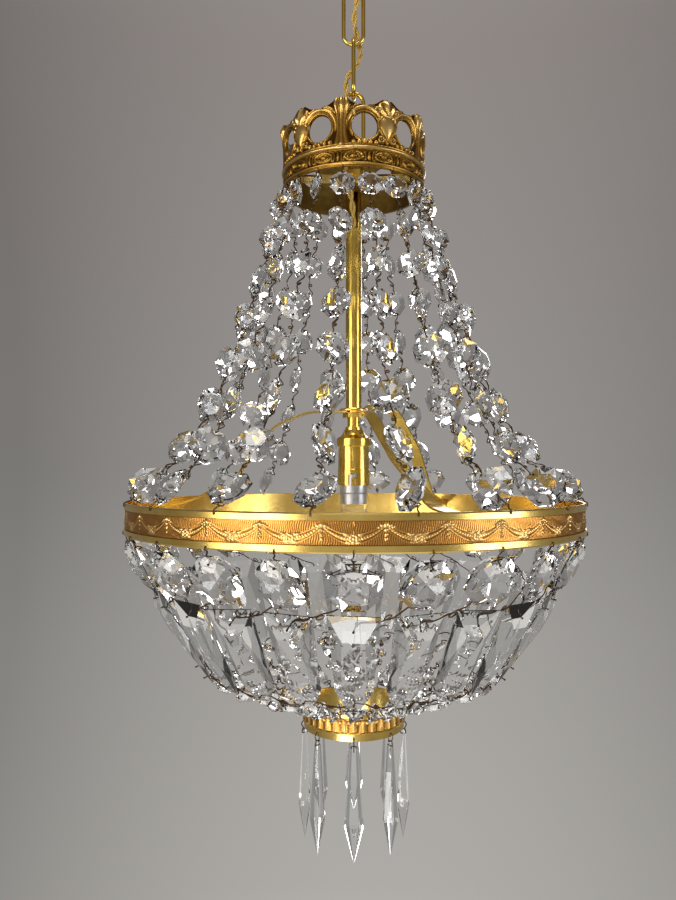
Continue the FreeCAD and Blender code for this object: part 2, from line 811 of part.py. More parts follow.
def makeCrownOval(inner):
    # an oval ring on the frieze band with a smaller oval boss in it
    middle = Vector(inner + number.fitGap, 0, number.crownBandHeight / 2)
    reach = X_AXIS * (number.crownRadius + number.crownOvalProud - middle.x)
    solids = []
    for share in (1.0, 0.72, 0.42):
        across = Y_AXIS * (number.crownOvalWidth / 2 * share)
        upward = Z_AXIS * (number.crownOvalHeight / 2 * share)
        solids.append(Part.Face(ellipseWire(middle, across, upward)).extrude(reach))
    outerOval, innerOval, boss = solids
    return [outerOval.cut(innerOval), boss]


def makeCrown():
    # pierced coronet: a frieze band with ovals between two mouldings, and above it a wall opened by round
    # rimmed bays, with leaves and shields in turn on the uprights between them
    outer = mm.crownRadius
    inner = outer - mm.crownWall
    proud = outer + mm.crownMouldingProud
    band = mm.crownBandHeight
    moulding = mm.crownMoulding
    total = band + mm.crownGalleryHeight
    places = [
        (inner, ZERO),
        (outer, ZERO),
        (proud, moulding / 2.0),
        (outer, moulding),
        (outer, band - moulding),
        (proud, band - moulding / 2.0),
        (outer, band),
        (outer, total),
        (inner, total),
    ]
    crown = turned("Crown", "crown_turned", crownBottom, places)
    opening = circleAt(ZERO, band + mm.crownOpeningRise, mm.crownOpeningRadius)
    pierce(crown, "CrownBay", opening, "XZ_Plane", mm.crownBays, False)
    dip = circleAt(ZERO, total - mm.crownDipDepth + mm.crownDipRadius, mm.crownDipRadius)
    pierce(crown, "CrownDip", dip, "XZ_Plane", mm.crownBays, False)
    crown.Placement = Placement(Vector(0, 0, crownBottom.number), Rotation(Z_AXIS, number.crownTurn))
    bays = int(number.crownBays)
    pitch = 360.0 / bays
    front = number.crownTurn - 90.0
    rim = makeCrownRims(inner.number)
    uprights = [makeCrownShield(inner.number), makeCrownLeaf(inner.number)]
    seats = []
    for bay in range(bays):
        seats.append((rim, front + pitch * bay))
        seats.append((uprights[bay % 2], front + pitch * (bay + 0.5)))
    for oval in range(int(number.crownOvals)):
        for ring in makeCrownOval(inner.number):
            seats.append((ring, 360.0 / number.crownOvals * oval - 90.0))
    foot = Vector(0, 0, crownBottom.number)
    carving = [placed(solid, Placement(foot, Rotation(Z_AXIS, azimuth))) for solid, azimuth in seats]
    ornament = doc.addObject("Part::Feature", "CrownOrnament")
    ornament.Shape = carving[0].multiFuse(carving[1:])
    named(fuse("CrownCarved", [crown, ornament]), "crown")


def makeCrownBridge():
    # flat bar across the crown, its ends turned down against the wall, clamped on the rod by two nuts
    bore = number.crownRadius - number.crownWall
    halfWidth = number.bridgeWidth / 2
    half = math.sqrt(bore ** 2 - halfWidth ** 2) - number.fitGap
    top = bridgeTop.number
    thick = number.bridgeThickness
    low = top - number.bridgeFlange
    places = [(-half, low), (-half + thick, low), (-half + thick, top - thick), (half - thick, top - thick)]
    places += [(half - thick, low), (half, low), (half, top), (-half, top)]
    corners = [Vector(x, -halfWidth, z) for x, z in places]
    staple = Part.Face(Part.makePolygon(corners + corners[:1])).extrude(Vector(0, number.bridgeWidth, 0))
    bar = doc.addObject("Part::Feature", "BridgeBar")
    bar.Shape = staple
    holeLow = bridgeTop - mm.bridgeThickness
    hole = cylinder("BridgeHole", mm.rodRadius + mm.fitGap, mm.bridgeThickness, holeLow)
    named(cut("CrownBridge", bar, [hole]), "crown_bridge")


def makeHubDisc():
    bore = mm.threadRadius + mm.fitGap
    crest = mm.hubThickness * 0.5
    edge = mm.hubRadius - mm.hubChamfer
    places = [(bore, ZERO), (mm.hubRadius, ZERO), (mm.hubRadius, crest), (edge, mm.hubThickness)]
    places.append((bore, mm.hubThickness))
    named(turned("HubDisc", "hub_disc", armSeat, places), "hub_disc")


# ---- arms and rings ----

# the straps were bent by hand, so no two have the same line; for each azimuth, the corners of its strap:
# share of the hoop's radius outwards, share of the rise from hoop to hub, and the bend's radius as a share
ARM_LINES = {
    180.0: ((0.20, 1.0, 0.22), (0.36, 0.84, 0.16), (0.53, 0.26, 0.26), (0.74, -0.02, 0.34)),
    -60.0: ((0.13, 1.0, 0.13), (0.36, 0.44, 0.15), (0.62, -0.02, 0.20)),
    60.0: ((0.105, 1.0, 0.08), (0.20, 1.14, 0.13), (0.40, 1.08, 0.20), (0.64, 0.60, 0.20), (0.80, 0.02, 0.12)),
}


def makeArm(index, azimuth, line):
    # a flat strap that leaves the hub level, bows down and runs out to a tab on the hoop's inner wall
    thick = number.armThickness
    seat = armSeat.number - thick / 2
    ring = hoopTop.number
    wall = math.sqrt(hoopWallRadius() ** 2 - (number.armWidth / 2) ** 2) - thick / 2 - number.fitGap
    tabTop = ring - number.armTabDrop
    points = [Vector(number.threadRadius + number.armHubGap, 0, seat)]
    for outward, upward, bend in line:
        points.append(Vector(outward * number.hoopRadius, 0, ring + (seat - ring) * upward))
    points += [Vector(wall, 0, tabTop), Vector(wall, 0, tabTop - number.armTabLength)]
    bends = [bend * number.hoopRadius for outward, upward, bend in line]
    path = bentPath(points, bends + [number.armTabBend])[0]
    way = (points[1] - points[0]).normalize()
    across = Vector(0, number.armWidth / 2, 0)
    up = way.cross(Y_AXIS) * (thick / 2)
    start = points[0]
    corners = [start + across + up, start - across + up, start - across - up, start + across - up]
    strap = path.makePipeShell([Part.makePolygon(corners + corners[:1])], True, False)
    rivetHeight = tabTop - number.rivetDrop
    hole = Part.makeCylinder(
        number.rivetRadius + number.fitGap, thick * 4, Vector(wall - thick * 2, 0, rivetHeight), X_AXIS
    )
    strap = strap.cut(hole)
    strap.rotate(Vector(0, 0, 0), Z_AXIS, azimuth)
    setShape(f"arm_{index + 1}", strap)
    return wall, rivetHeight


def makeArmRivets(wall, height):
    # round-head rivets through each tab and the hoop, flush under the frieze
    inner = wall - number.armThickness / 2
    outer = number.hoopRadius - number.hoopBorderProud
    rivets = []
    for azimuth in ARM_LINES:
        shank = Part.makeCylinder(number.rivetRadius, outer - inner, Vector(inner, 0, height), X_AXIS)
        headRadius = number.rivetHeadRadius
        headHeight = number.rivetHeadHeight
        base = Vector(inner - headHeight, 0, height)
        head = Part.makeCone(headRadius * 0.6, headRadius, headHeight, base, X_AXIS)
        rivet = shank.fuse(head)
        rivet.rotate(Vector(0, 0, 0), Z_AXIS, azimuth)
        rivets.append(rivet)
    setShape("arm_rivets", Part.makeCompound(rivets))


def makeMainHoop(rivetHeight):
    # sheet hoop with a raised plain border at each edge; the frieze strip lies between the borders
    outer = mm.hoopRadius
    middle = outer - mm.hoopBorderProud
    inner = middle - mm.hoopWall
    border = mm.hoopBorder
    total = mm.hoopHeight
    soft = mm.hoopBorderSoft
    places = [
        (inner, ZERO),
        (outer - soft, ZERO),
        (outer, mm.hoopBorderProud - soft),
        (outer, border),
        (middle, border),
        (middle, total - border),
        (outer, total - border),
        (outer, total - mm.hoopBorderProud + soft),
        (outer - soft, total),
        (inner, total),
    ]
    hoop = turned("MainHoop", "hoop_turned", hoopBottom, places)
    holes = []
    for index, azimuth in enumerate(ARM_LINES):
        bore = mm.rivetRadius + mm.fitGap
        hole = primitive("Cylinder", f"HoopRivetHole{index}", Radius=bore, Height=mm.hoopRadius)
        turn = Rotation(Z_AXIS, azimuth) * Rotation(Y_AXIS, 90)
        hole.Placement = Placement(Vector(0, 0, rivetHeight), turn)
        holes.append(hole)
    named(cut("HoopPierced", hoop, holes), "main_hoop")


def makeMainFrieze():
    inner = mm.hoopRadius - mm.hoopBorderProud + mm.fitGap
    outer = inner + mm.friezeThickness
    low = mm.hoopBorder + mm.fitGap
    high = mm.hoopHeight - mm.hoopBorder - mm.fitGap
    places = [(inner, low), (outer, low), (outer, high), (inner, high)]
    named(turned("MainFrieze", "main_frieze", hoopBottom, places), "main_frieze")


def makeBottomRing():
    outer = mm.bottomRadius
    inner = outer - mm.bottomWall
    proud = outer + mm.bottomMouldingProud
    lower = mm.bottomLowerBorder
    total = mm.bottomHeight
    upper = total - mm.bottomUpperBorder
    moulding = mm.bottomMoulding
    places = [
        (inner, ZERO),
        (outer, ZERO),
        (outer, lower),
        (proud, lower + moulding / 2.0),
        (outer, lower + moulding),
        (outer, upper - moulding),
        (proud, upper - moulding / 2.0),
        (outer, upper),
        (outer, total),
        (inner, total),
    ]
    ring = turned("BottomRing", "bottom_ring", bottomLow, places)
    hole = circleAt(ZERO, mm.spearHoleRise, mm.spearHoleRadius)
    named(pierce(ring, "SpearHole", hole, "XZ_Plane", mm.spearCount, False), "bottom_ring")


# ---- lampholder and bulb ----

def makeHolderCap():
    total = mm.capHeight
    bore = mm.threadRadius + mm.fitGap
    neck = bore + mm.capNeckWall
    dome = mm.capDomeRadius
    brow = total - mm.capNeckHeight
    boss = total - mm.capNeckDepth
    places = [
        (mm.capRadius - mm.capWall, ZERO),
        (mm.capRadius, ZERO, dome),
        (neck + mm.capWall, brow),
        (neck, brow),
        (neck, total),
        (bore, total),
        (bore, boss),
        (neck, boss),
        (neck, brow - mm.capWall, -(dome - mm.capWall)),
    ]
    named(turned("HolderCap", "holder_cap", capRim, places), "holder_cap")


def makeHolderCollar():
    inner = mm.barrelRadius - mm.holderThreadDepth + mm.fitGap
    outer = mm.holderCollarRadius
    total = mm.holderCollarHeight
    soft = mm.holderCollarSoft
    places = [(inner, ZERO), (outer - soft, ZERO), (outer, soft), (outer, total - soft)]
    places += [(outer - soft, total), (inner, total)]
    named(turned("HolderCollar", "holder_collar", holderCollarBottom, places), "holder_collar")


def bayonetSides():
    # the two azimuths at which the bulb's pins rest
    return number.bayonetFacing, number.bayonetFacing + 180.0


def makeHolderBody():
    # brass barrel and bayonet skirt, with two J slots that open at the rim; the bulb locks as it turns
    # clockwise, seen from below
    bore = mm.skirtBore
    skirt = mm.skirtHeight
    barrel = skirt + mm.barrelHeight
    thread = barrel + mm.holderThreadHeight
    neck = mm.barrelRadius - mm.holderThreadDepth
    places = [
        (bore, ZERO),
        (mm.skirtRadius, ZERO),
        (mm.skirtRadius, skirt - mm.skirtChamfer),
        (mm.barrelRadius, skirt),
        (mm.barrelRadius, barrel),
        (neck, barrel),
        (neck, thread),
        (bore, thread),
    ]
    body = turned("HolderBody", "holder_turned", skirtBottom, places)
    slotHalf = mm.bulbPinRadius + mm.bayonetPlay
    slotReach = mm.skirtRadius + mm.bulbPinReach
    pinZ = bulbCapTop - mm.bulbPinDrop
    tools = []
    for index, side in enumerate(bayonetSides()):
        rise = pinZ + slotHalf - skirtBottom
        entry = primitive("Box", f"SlotEntry{index}", Length=slotReach, Width=slotHalf * 2.0, Height=rise)
        turn = Rotation(Z_AXIS, side - number.bayonetTurn)
        entry.Placement = Placement(turn.multVec(Vector(0, -slotHalf.number, 0)), turn)
        tools.append(lift(entry, skirtBottom))
        sector = primitive("Cylinder", f"SlotTurn{index}", Radius=slotReach, Height=slotHalf * 2.0)
        spare = math.degrees(slotHalf.number / number.skirtRadius)
        bind(sector, Angle=mm.bayonetTurn + spare)
        sector.Placement = Placement(Vector(0, 0, 0), Rotation(Z_AXIS, side - number.bayonetTurn))
        tools.append(lift(sector, pinZ - slotHalf))
    named(cut("HolderSlotted", body, tools), "holder_body")


def makeHolderInsulator():
    low = holderCollarBottom + mm.holderThreadHeight - mm.insulatorHeight
    core = cylinder("InsulatorCore", mm.skirtBore - mm.fitGap * 2.0, mm.insulatorHeight, low)
    plungers = []
    for index, side in enumerate((-1.0, 1.0)):
        reach = low - bulbCapTop - mm.seatGap
        plunger = cylinder(f"Plunger{index}", mm.plungerRadius, reach, bulbCapTop + mm.seatGap)
        plungers.append(bind(plunger, Placement_Base_x=mm.plungerOffset * side))
    named(fuse("HolderInsulator", [core] + plungers), "holder_insulator")


def makeBulbCap():
    # bayonet cap with its two side pins, closed at the top and open to the glass below
    wall = mm.bulbCapWall
    outer = mm.bulbCapRadius
    total = mm.bulbCapLength
    groove = mm.bulbCapGroove
    soft = mm.bulbCapSoft
    places = [
        (outer - wall * 2.0, ZERO),
        (outer, ZERO),
        (outer, groove),
        (outer - wall, groove + wall),
        (outer, groove + wall * 2.0),
        (outer, total - soft),
        (outer - soft, total),
        (ZERO, total),
        (ZERO, total - wall * 2.0),
        (outer - wall * 2.0, total - wall * 2.0),
    ]
    shell = turned("BulbCapShell", "bulb_cap_shell", bulbCapBottom, places)
    pins = []
    for index, side in enumerate(bayonetSides()):
        pin = primitive("Cylinder", f"BulbPin{index}", Radius=mm.bulbPinRadius, Height=mm.bulbPinReach + wall)
        turn = Rotation(Z_AXIS, side) * Rotation(Y_AXIS, 90)
        pin.Placement = Placement(ringPoint(plain(outer - wall), side, 0), turn)
        pins.append(lift(pin, bulbCapTop - mm.bulbPinDrop))
    named(fuse("BulbCap", [shell] + pins), "bulb_cap")


def makeBulbGlass():
    # round clear bulb: a neck inside the cap that swells into the globe
    rim = bulbCapBottom.number
    centre = rim - number.bulbLength + number.bulbRadius
    joint = math.radians(number.bulbConeAngle)

    def shell(inset):
        radius = number.bulbRadius - inset
        tube = number.bulbNeckRadius - inset
        bottom = Vector(0, 0, centre - radius)
        side = Vector(radius, 0, centre)
        shoulderEnd = Vector(radius * math.cos(joint), 0, centre + radius * math.sin(joint))
        waist = Vector(tube, 0, rim - number.bulbWaistDrop)
        neckTop = Vector(tube, 0, rim + number.bulbNeckLap)
        middle = Vector(0, 0, rim + number.bulbNeckLap)
        edges = [Part.Arc(bottom, side, shoulderEnd).toShape()]
        edges.append(Part.makePolygon([shoulderEnd, waist, neckTop, middle, bottom]))
        return Part.Face(Part.Wire(edges)).revolve(Vector(0, 0, 0), Z_AXIS, 360)

    setShape("bulb_glass", shell(0.0).cut(shell(number.bulbWall)))


# ---- crystals ----

def octagonBead(width, thickness):
    # octagon with a table in front, a knife edge and a pointed back
    table = regularRing(8, width * number.tableShare, thickness / 2)
    girdle = regularRing(8, width, 0)
    return facetedSolid([table, girdle, [Vector(-thickness / 2, 0, 0)]])


def tableOctagon(width, thickness):
    # the large octagons of the basket are cut with a table on both faces
    table = regularRing(8, width * number.tableShare, thickness / 2)
    girdle = regularRing(8, width, 0)
    back = regularRing(8, width * number.tableShare, -thickness / 2)
    return facetedSolid([table, girdle, back])


def insetOutline(corners, distance):
    # the convex outline drawn in by one distance on every side, as a bevel cuts it
    count = len(corners)
    middle = sum(corners, Vector(0, 0, 0)) * (1.0 / count)
    lines = []
    for index in range(count):
        start = corners[index]
        way = (corners[(index + 1) % count] - start).normalize()
        inward = X_AXIS.cross(way)
        if inward.dot(middle - start) < 0:
            inward = inward * -1
        lines.append((start + inward * distance, way))
    drawn = []
    for index in range(count):
        here, way = lines[index - 1]
        there, other = lines[index]
        across = way.cross(other)
        reach = (there - here).cross(other).dot(across) / across.dot(across)
        drawn.append(here + way * reach)
    return drawn


def plaque():
    # long bevelled prism: wide at the hole, tapering to a shoulder and a blunt tip; its top edge is at zero
    half = number.plaqueThickness / 2
    wide = number.plaqueTopWidth / 2
    shoulderWidth = number.plaqueLowWidth / 2
    tip = number.plaqueTipWidth / 2
    outline = [(wide, 0), (-wide, 0), (-shoulderWidth, -number.plaqueShoulder), (-tip, -number.plaqueLength)]
    outline += [(tip, -number.plaqueLength), (shoulderWidth, -number.plaqueShoulder)]
    girdle = [Vector(0, across, up) for across, up in outline]
    table = [corner + X_AXIS * half for corner in insetOutline(girdle, number.plaqueBevel)]
    back = [corner - X_AXIS * half for corner in insetOutline(girdle, number.plaqueBevel * 0.6)]
    return facetedSolid([table, girdle, back])


def unevenTurn(index, spread):
    # a fixed but uneven turn for each crystal, since no two hang alike
    return spread * math.sin(index * 2.399 + 0.7 * math.sin(index * 1.3))


def strandRadius(share):
    start = number.crownRadius - number.crownWall / 2
    span = number.hoopRadius - number.hoopBorderProud / 2 - number.hoopWall / 2 - start
    straight = number.strandStraightShare
    return start + span * (straight * share + (1 - straight) * share ** number.strandFlarePower)


def strandProfile():
    # the strand's line from the crown's lower edge to the hoop's top edge, as points close together
    top = crownBottom.number - number.seatGap
    low = hoopTop.number + (number.seatGap + number.wireRadius) * 2
    shares = [step / 240 for step in range(241)]
    return [Vector(strandRadius(share), 0, top + (low - top) * share) for share in shares]


def alongProfile(profile, distance):
    walked = 0.0
    for here, there in zip(profile, profile[1:]):
        step = (there - here).Length
        if walked + step >= distance:
            return here + (there - here) * ((distance - walked) / step)
        walked += step
    return profile[-1]


def profileLength(profile):
    return sum((there - here).Length for here, there in zip(profile, profile[1:]))


def turnedPoint(point, azimuth):
    return ringPoint(point.x, azimuth, point.z)


def strandSeats():
    # for each bead of a strand: its width, its two ends on the profile and its lean
    profile = strandProfile()
    count = int(number.strandBeads)
    grow = (number.strandRingBead - number.strandTopBead) / (count - 1)
    widths = [number.strandTopBead + grow * index for index in range(count)]
    spare = profileLength(profile) - sum(widths) - 2 * number.strandEndPin
    pin = spare / (count - 1)
    seats = []
    walked = number.strandEndPin
    for width in widths:
        upper = alongProfile(profile, walked)
        reach = alongProfile(profile, walked + width)
        lower = upper + (reach - upper).normalize() * width
        lean = -math.degrees(math.atan2(lower.x - upper.x, upper.z - lower.z))
        seats.append((width, upper, lower, lean))
        walked += width + pin
    return profile, seats


def makeStrands():
    profile, seats = strandSeats()
    beads = [octagonBead(width, width * number.beadThicknessShare) for width, upper, lower, lean in seats]
    pins = []
    for strand in range(int(number.strandCount)):
        azimuth = 360.0 / number.strandCount * strand + number.strandFirstAngle
        solids = []
        end = turnedPoint(profile[0], azimuth)
        for index, (width, upper, lower, lean) in enumerate(seats):
            middle = (upper + lower) * 0.5
            twist = unevenTurn(strand * 8 + index, 68.0)
            solids.append(placed(beads[index], crystalPlacement(middle.x, azimuth, middle.z, lean, twist)))
            pins.append(wirePin(end, turnedPoint(upper, azimuth)))
            end = turnedPoint(lower, azimuth)
        pins.append(wirePin(end, turnedPoint(profile[-1], azimuth)))
        pins.append(edgeHook(azimuth, hoopTop.number, 1))
        setShape(f"strand_{strand + 1:02d}", Part.makeCompound(solids))
    return pins


def basketSeats():
    # the basket column in the plane of its azimuth: octagon, plaque, then small beads to the bottom ring
    seat = hoopBottom.number - number.seatGap - number.wireRadius * 2
    edge = Vector(number.hoopRadius - number.hoopBorderProud / 2 - number.hoopWall / 2, 0, seat)
    lean = math.radians(number.basketOctagonLean)
    octagonWay = Vector(-math.sin(lean), 0, -math.cos(lean))
    slant = math.radians(number.basketPlaqueLean)
    plaqueWay = Vector(-math.sin(slant), 0, -math.cos(slant))
    octagonTop = edge + octagonWay * number.octagonPin
    octagonLow = octagonTop + octagonWay * number.octagonWidth
    plaqueTop = octagonLow + plaqueWay * number.plaquePin
    plaqueLow = plaqueTop + plaqueWay * number.plaqueLength
    ring = Vector(number.bottomRadius - number.bottomWall / 2, 0, bottomTop.number + number.seatGap * 2)
    return edge, octagonTop, octagonLow, plaqueTop, plaqueLow, ring


def makeBasket():
    edge, octagonTop, octagonLow, plaqueTop, plaqueLow, ring = basketSeats()
    count = int(number.smallBeads)
    way = ring - plaqueLow
    span = way.Length
    way.normalize()
    pinLength = (span - count * number.smallBeadWidth) / (count + 1)
    beadLean = math.degrees(math.atan2(plaqueLow.x - ring.x, plaqueLow.z - ring.z))
    octagonShape = tableOctagon(number.octagonWidth, number.octagonThickness)
    plaqueShape = plaque()
    beadShape = octagonBead(number.smallBeadWidth, number.smallBeadThickness)
    octagons, plaques, beads, pins = [], [], [], []
    for column in range(int(number.columnCount)):
        azimuth = 360.0 / number.columnCount * column - 90.0
        middle = (octagonTop + octagonLow) * 0.5
        twist = unevenTurn(column, 14.0)
        place = crystalPlacement(middle.x, azimuth, middle.z, number.basketOctagonLean, twist)
        octagons.append(placed(octagonShape, place))
        twist = unevenTurn(column + 5, 8.0)
        place = crystalPlacement(plaqueTop.x, azimuth, plaqueTop.z, number.basketPlaqueLean, twist)
        plaques.append(placed(plaqueShape, place))
        pins.append(edgeHook(azimuth, hoopBottom.number, -1))
        pins.append(wirePin(turnedPoint(edge, azimuth), turnedPoint(octagonTop, azimuth)))
        pins.append(wirePin(turnedPoint(octagonLow, azimuth), turnedPoint(plaqueTop, azimuth)))
        end = plaqueLow
        for index in range(count):
            upper = plaqueLow + way * (pinLength * (index + 1) + number.smallBeadWidth * index)
            lower = upper + way * number.smallBeadWidth
            middle = (upper + lower) * 0.5
            twist = 66.0 if index == count - 1 else unevenTurn(column * 4 + index, 30.0)
            beads.append(placed(beadShape, crystalPlacement(middle.x, azimuth, middle.z, beadLean, twist)))
            pins.append(wirePin(turnedPoint(end, azimuth), turnedPoint(upper, azimuth)))
            end = lower
        pins.append(wirePin(turnedPoint(end, azimuth), turnedPoint(ring, azimuth)))
    setShape("basket_octagons", Part.makeCompound(octagons))
    setShape("basket_plaques", Part.makeCompound(plaques))
    setShape("basket_beads", Part.makeCompound(beads))
    return pins


def makeSpears():
    # icicle drops on wire rings that pass through the bottom ring's holes
    loopZ = bottomLow.number + number.spearHoleRise - number.spearLoopRadius
    spearTop = loopZ - number.spearLoopRadius - number.wireRadius - number.seatGap
    squeeze = number.spearThickness / number.spearWidth
    steps = ((0.0, number.spearTopShare), (number.spearWidestShare, 1.0))
    rings = []
    for down, share in steps:
        corner = number.spearWidth / 2 * share / math.cos(math.pi / 8)
        angles = [math.pi * (2 * index + 1) / 8 for index in range(8)]
        depth = -down * number.spearLength
        rings.append([Vector(corner * squeeze * math.cos(a), corner * math.sin(a), depth) for a in angles])
    rings.append([Vector(0, 0, -number.spearLength)])
    drop = facetedSolid(rings)
    wall = number.bottomRadius - number.bottomWall / 2
    for index in range(int(number.spearCount)):
        azimuth = 360.0 / number.spearCount * index - 90.0
        loop = Part.makeTorus(number.spearLoopRadius, number.wireRadius, Vector(wall, 0, loopZ), Y_AXIS)
        loop.rotate(Vector(0, 0, 0), Z_AXIS, azimuth)
        glass = placed(drop, Placement(ringPoint(wall, azimuth, spearTop), Rotation(Z_AXIS, azimuth)))
        setShape(f"spear_{index + 1}", Part.makeCompound([glass, loop]))


makeCeilingPlate()
makeCeilingHook()
makeCanopy()
makeCanopyCollar()
for linkIndex in range(3):
    makeChainLink(linkIndex)
makeTopLoop()
makeFlex()
makeRodTube()
makeRodNuts()
makeCrown()
makeCrownBridge()
makeHubDisc()
for armIndex, (armAzimuth, armLine) in enumerate(ARM_LINES.items()):
    armWall, armRivetHeight = makeArm(armIndex, armAzimuth, armLine)
makeArmRivets(armWall, armRivetHeight)
makeMainHoop(armRivetHeight)
makeMainFrieze()
makeBottomRing()
makeHolderCap()
makeHolderCollar()
makeHolderBody()
makeHolderInsulator()
makeBulbCap()
makeBulbGlass()
crystalPins = makeStrands() + makeBasket()
setShape("crystal_pins", Part.makeCompound(crystalPins))
makeSpears()
doc.recompute()

for thing in doc.Objects:
    if "Invalid" in thing.State or "Error" in thing.State:
        raise RuntimeError(f"{thing.Label} failed: {thing.State}")
for node in nodes:
    if node.Shape.isNull() or not node.Shape.isValid() or not node.Shape.Solids:
        raise RuntimeError(f"{node.Label} has no valid solid")

os.makedirs("parts", exist_ok=True)
for node in nodes:
    node.Shape.exportStep(f"parts/{node.Label}.step")
print(f"{len(nodes)} nodes written, hoop top at {hoopTop.number:.1f} mm")
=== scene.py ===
import math

import bmesh
import bpy
import numpy as np
from mathutils import Matrix, Vector


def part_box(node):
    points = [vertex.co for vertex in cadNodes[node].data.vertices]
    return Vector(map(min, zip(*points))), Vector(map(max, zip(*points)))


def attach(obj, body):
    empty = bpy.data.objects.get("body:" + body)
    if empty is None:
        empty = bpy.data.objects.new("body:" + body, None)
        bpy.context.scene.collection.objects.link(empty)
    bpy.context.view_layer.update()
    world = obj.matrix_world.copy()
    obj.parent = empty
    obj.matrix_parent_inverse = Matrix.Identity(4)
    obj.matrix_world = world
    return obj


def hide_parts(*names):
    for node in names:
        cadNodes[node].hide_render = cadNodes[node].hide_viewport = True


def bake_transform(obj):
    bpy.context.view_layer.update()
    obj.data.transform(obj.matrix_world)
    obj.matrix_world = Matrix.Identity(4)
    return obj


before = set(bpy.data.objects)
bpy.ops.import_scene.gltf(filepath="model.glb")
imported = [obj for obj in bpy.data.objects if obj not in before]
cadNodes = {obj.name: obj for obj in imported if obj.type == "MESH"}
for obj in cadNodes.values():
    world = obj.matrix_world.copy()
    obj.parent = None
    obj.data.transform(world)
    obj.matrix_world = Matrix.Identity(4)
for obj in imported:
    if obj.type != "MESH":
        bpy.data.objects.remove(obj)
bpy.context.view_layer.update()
print("frame loaded:", len(cadNodes), "nodes")

millimetre = 0.001
frontAngle = -math.pi / 2  # the side that the camera sees
hoopLow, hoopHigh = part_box("main_hoop")
hoopTop = hoopHigh.z
hoopRadius = hoopHigh.x


# small helpers: colours, nodes, meshes

def linearColour(hexCode):
    # sRGB hex to the linear values that the shaders work in
    channels = [int(hexCode[i : i + 2], 16) / 255 for i in (1, 3, 5)]
    return [c / 12.92 if c <= 0.04045 else ((c + 0.055) / 1.055) ** 2.4 for c in channels] + [1.0]


def addNode(tree, kind, settings=None, links=None):
    # settings are input values, by name or number, or the node's own properties
    node = tree.nodes.new(kind)
    for name, value in (settings or {}).items():
        if isinstance(name, int) or name in node.inputs:
            node.inputs[name].default_value = value
        else:
            setattr(node, name, value)
    for name, source in (links or {}).items():
        tree.links.new(source, node.inputs[name])
    return node


def newMaterial(name):
    material = bpy.data.materials.new(name)
    material.use_nodes = True
    tree = material.node_tree
    return material, tree, tree.nodes["Principled BSDF"]


def addRamp(tree, source, stops):
    # stops are (place, sRGB hex) pairs
    ramp = addNode(tree, "ShaderNodeValToRGB", links={"Fac": source})
    elements = ramp.color_ramp.elements
    for end, (place, colour) in ((0, stops[0]), (1, stops[-1])):
        elements[end].position = place
        elements[end].color = linearColour(colour)
    for place, colour in stops[1:-1]:
        elements.new(place).color = linearColour(colour)
    return ramp.outputs["Color"]


def dress(nodeName, material):
    # gives a CAD node its finish
    cad = cadNodes[nodeName]
    if cad.material_slots:
        for place in cad.material_slots:
            place.material = material
    else:
        cad.data.materials.append(material)


def polar(radius, azimuth, height):
    angle = math.radians(azimuth)
    return Vector((radius * math.cos(angle), radius * math.sin(angle), height))


def addPiece(name, bm, material, body, replaced=(), smooth=False):
    mesh = bpy.data.meshes.new(name)
    bm.to_mesh(mesh)
    bm.free()
    return addMesh(name, mesh, material, body, replaced, smooth)


def addMesh(name, mesh, material, body, replaced, smooth):
    mesh.materials.clear()
    mesh.materials.append(material)
    mesh.polygons.foreach_set("use_smooth", [smooth] * len(mesh.polygons))
    piece = bpy.data.objects.new(name, mesh)
    bpy.context.scene.collection.objects.link(piece)
    if body:
        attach(piece, body)
    if replaced:
        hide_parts(*replaced)
    return piece


def meshFromCurves(name, lines, radius, steps):
    # round wires along smooth lines, as one mesh
    curve = bpy.data.curves.new(name, "CURVE")
    curve.dimensions = "3D"
    curve.bevel_depth = radius
    curve.bevel_resolution = 0  # a square wire is enough at half a millimetre
    curve.use_fill_caps = True
    curve.resolution_u = steps
    for line in lines:
        spline = curve.splines.new("NURBS")
        spline.points.add(len(line) - 1)
        for point, place in zip(spline.points, line):
            point.co = (*place, 1.0)
        spline.order_u = 3
        spline.use_endpoint_u = True
    holder = bpy.data.objects.new(name, curve)
    bpy.context.scene.collection.objects.link(holder)
    shown = holder.evaluated_get(bpy.context.evaluated_depsgraph_get())
    mesh = bpy.data.meshes.new_from_object(shown)
    bpy.data.objects.remove(holder)
    bpy.data.curves.remove(curve)
    return mesh


# materials, each named for its real finish

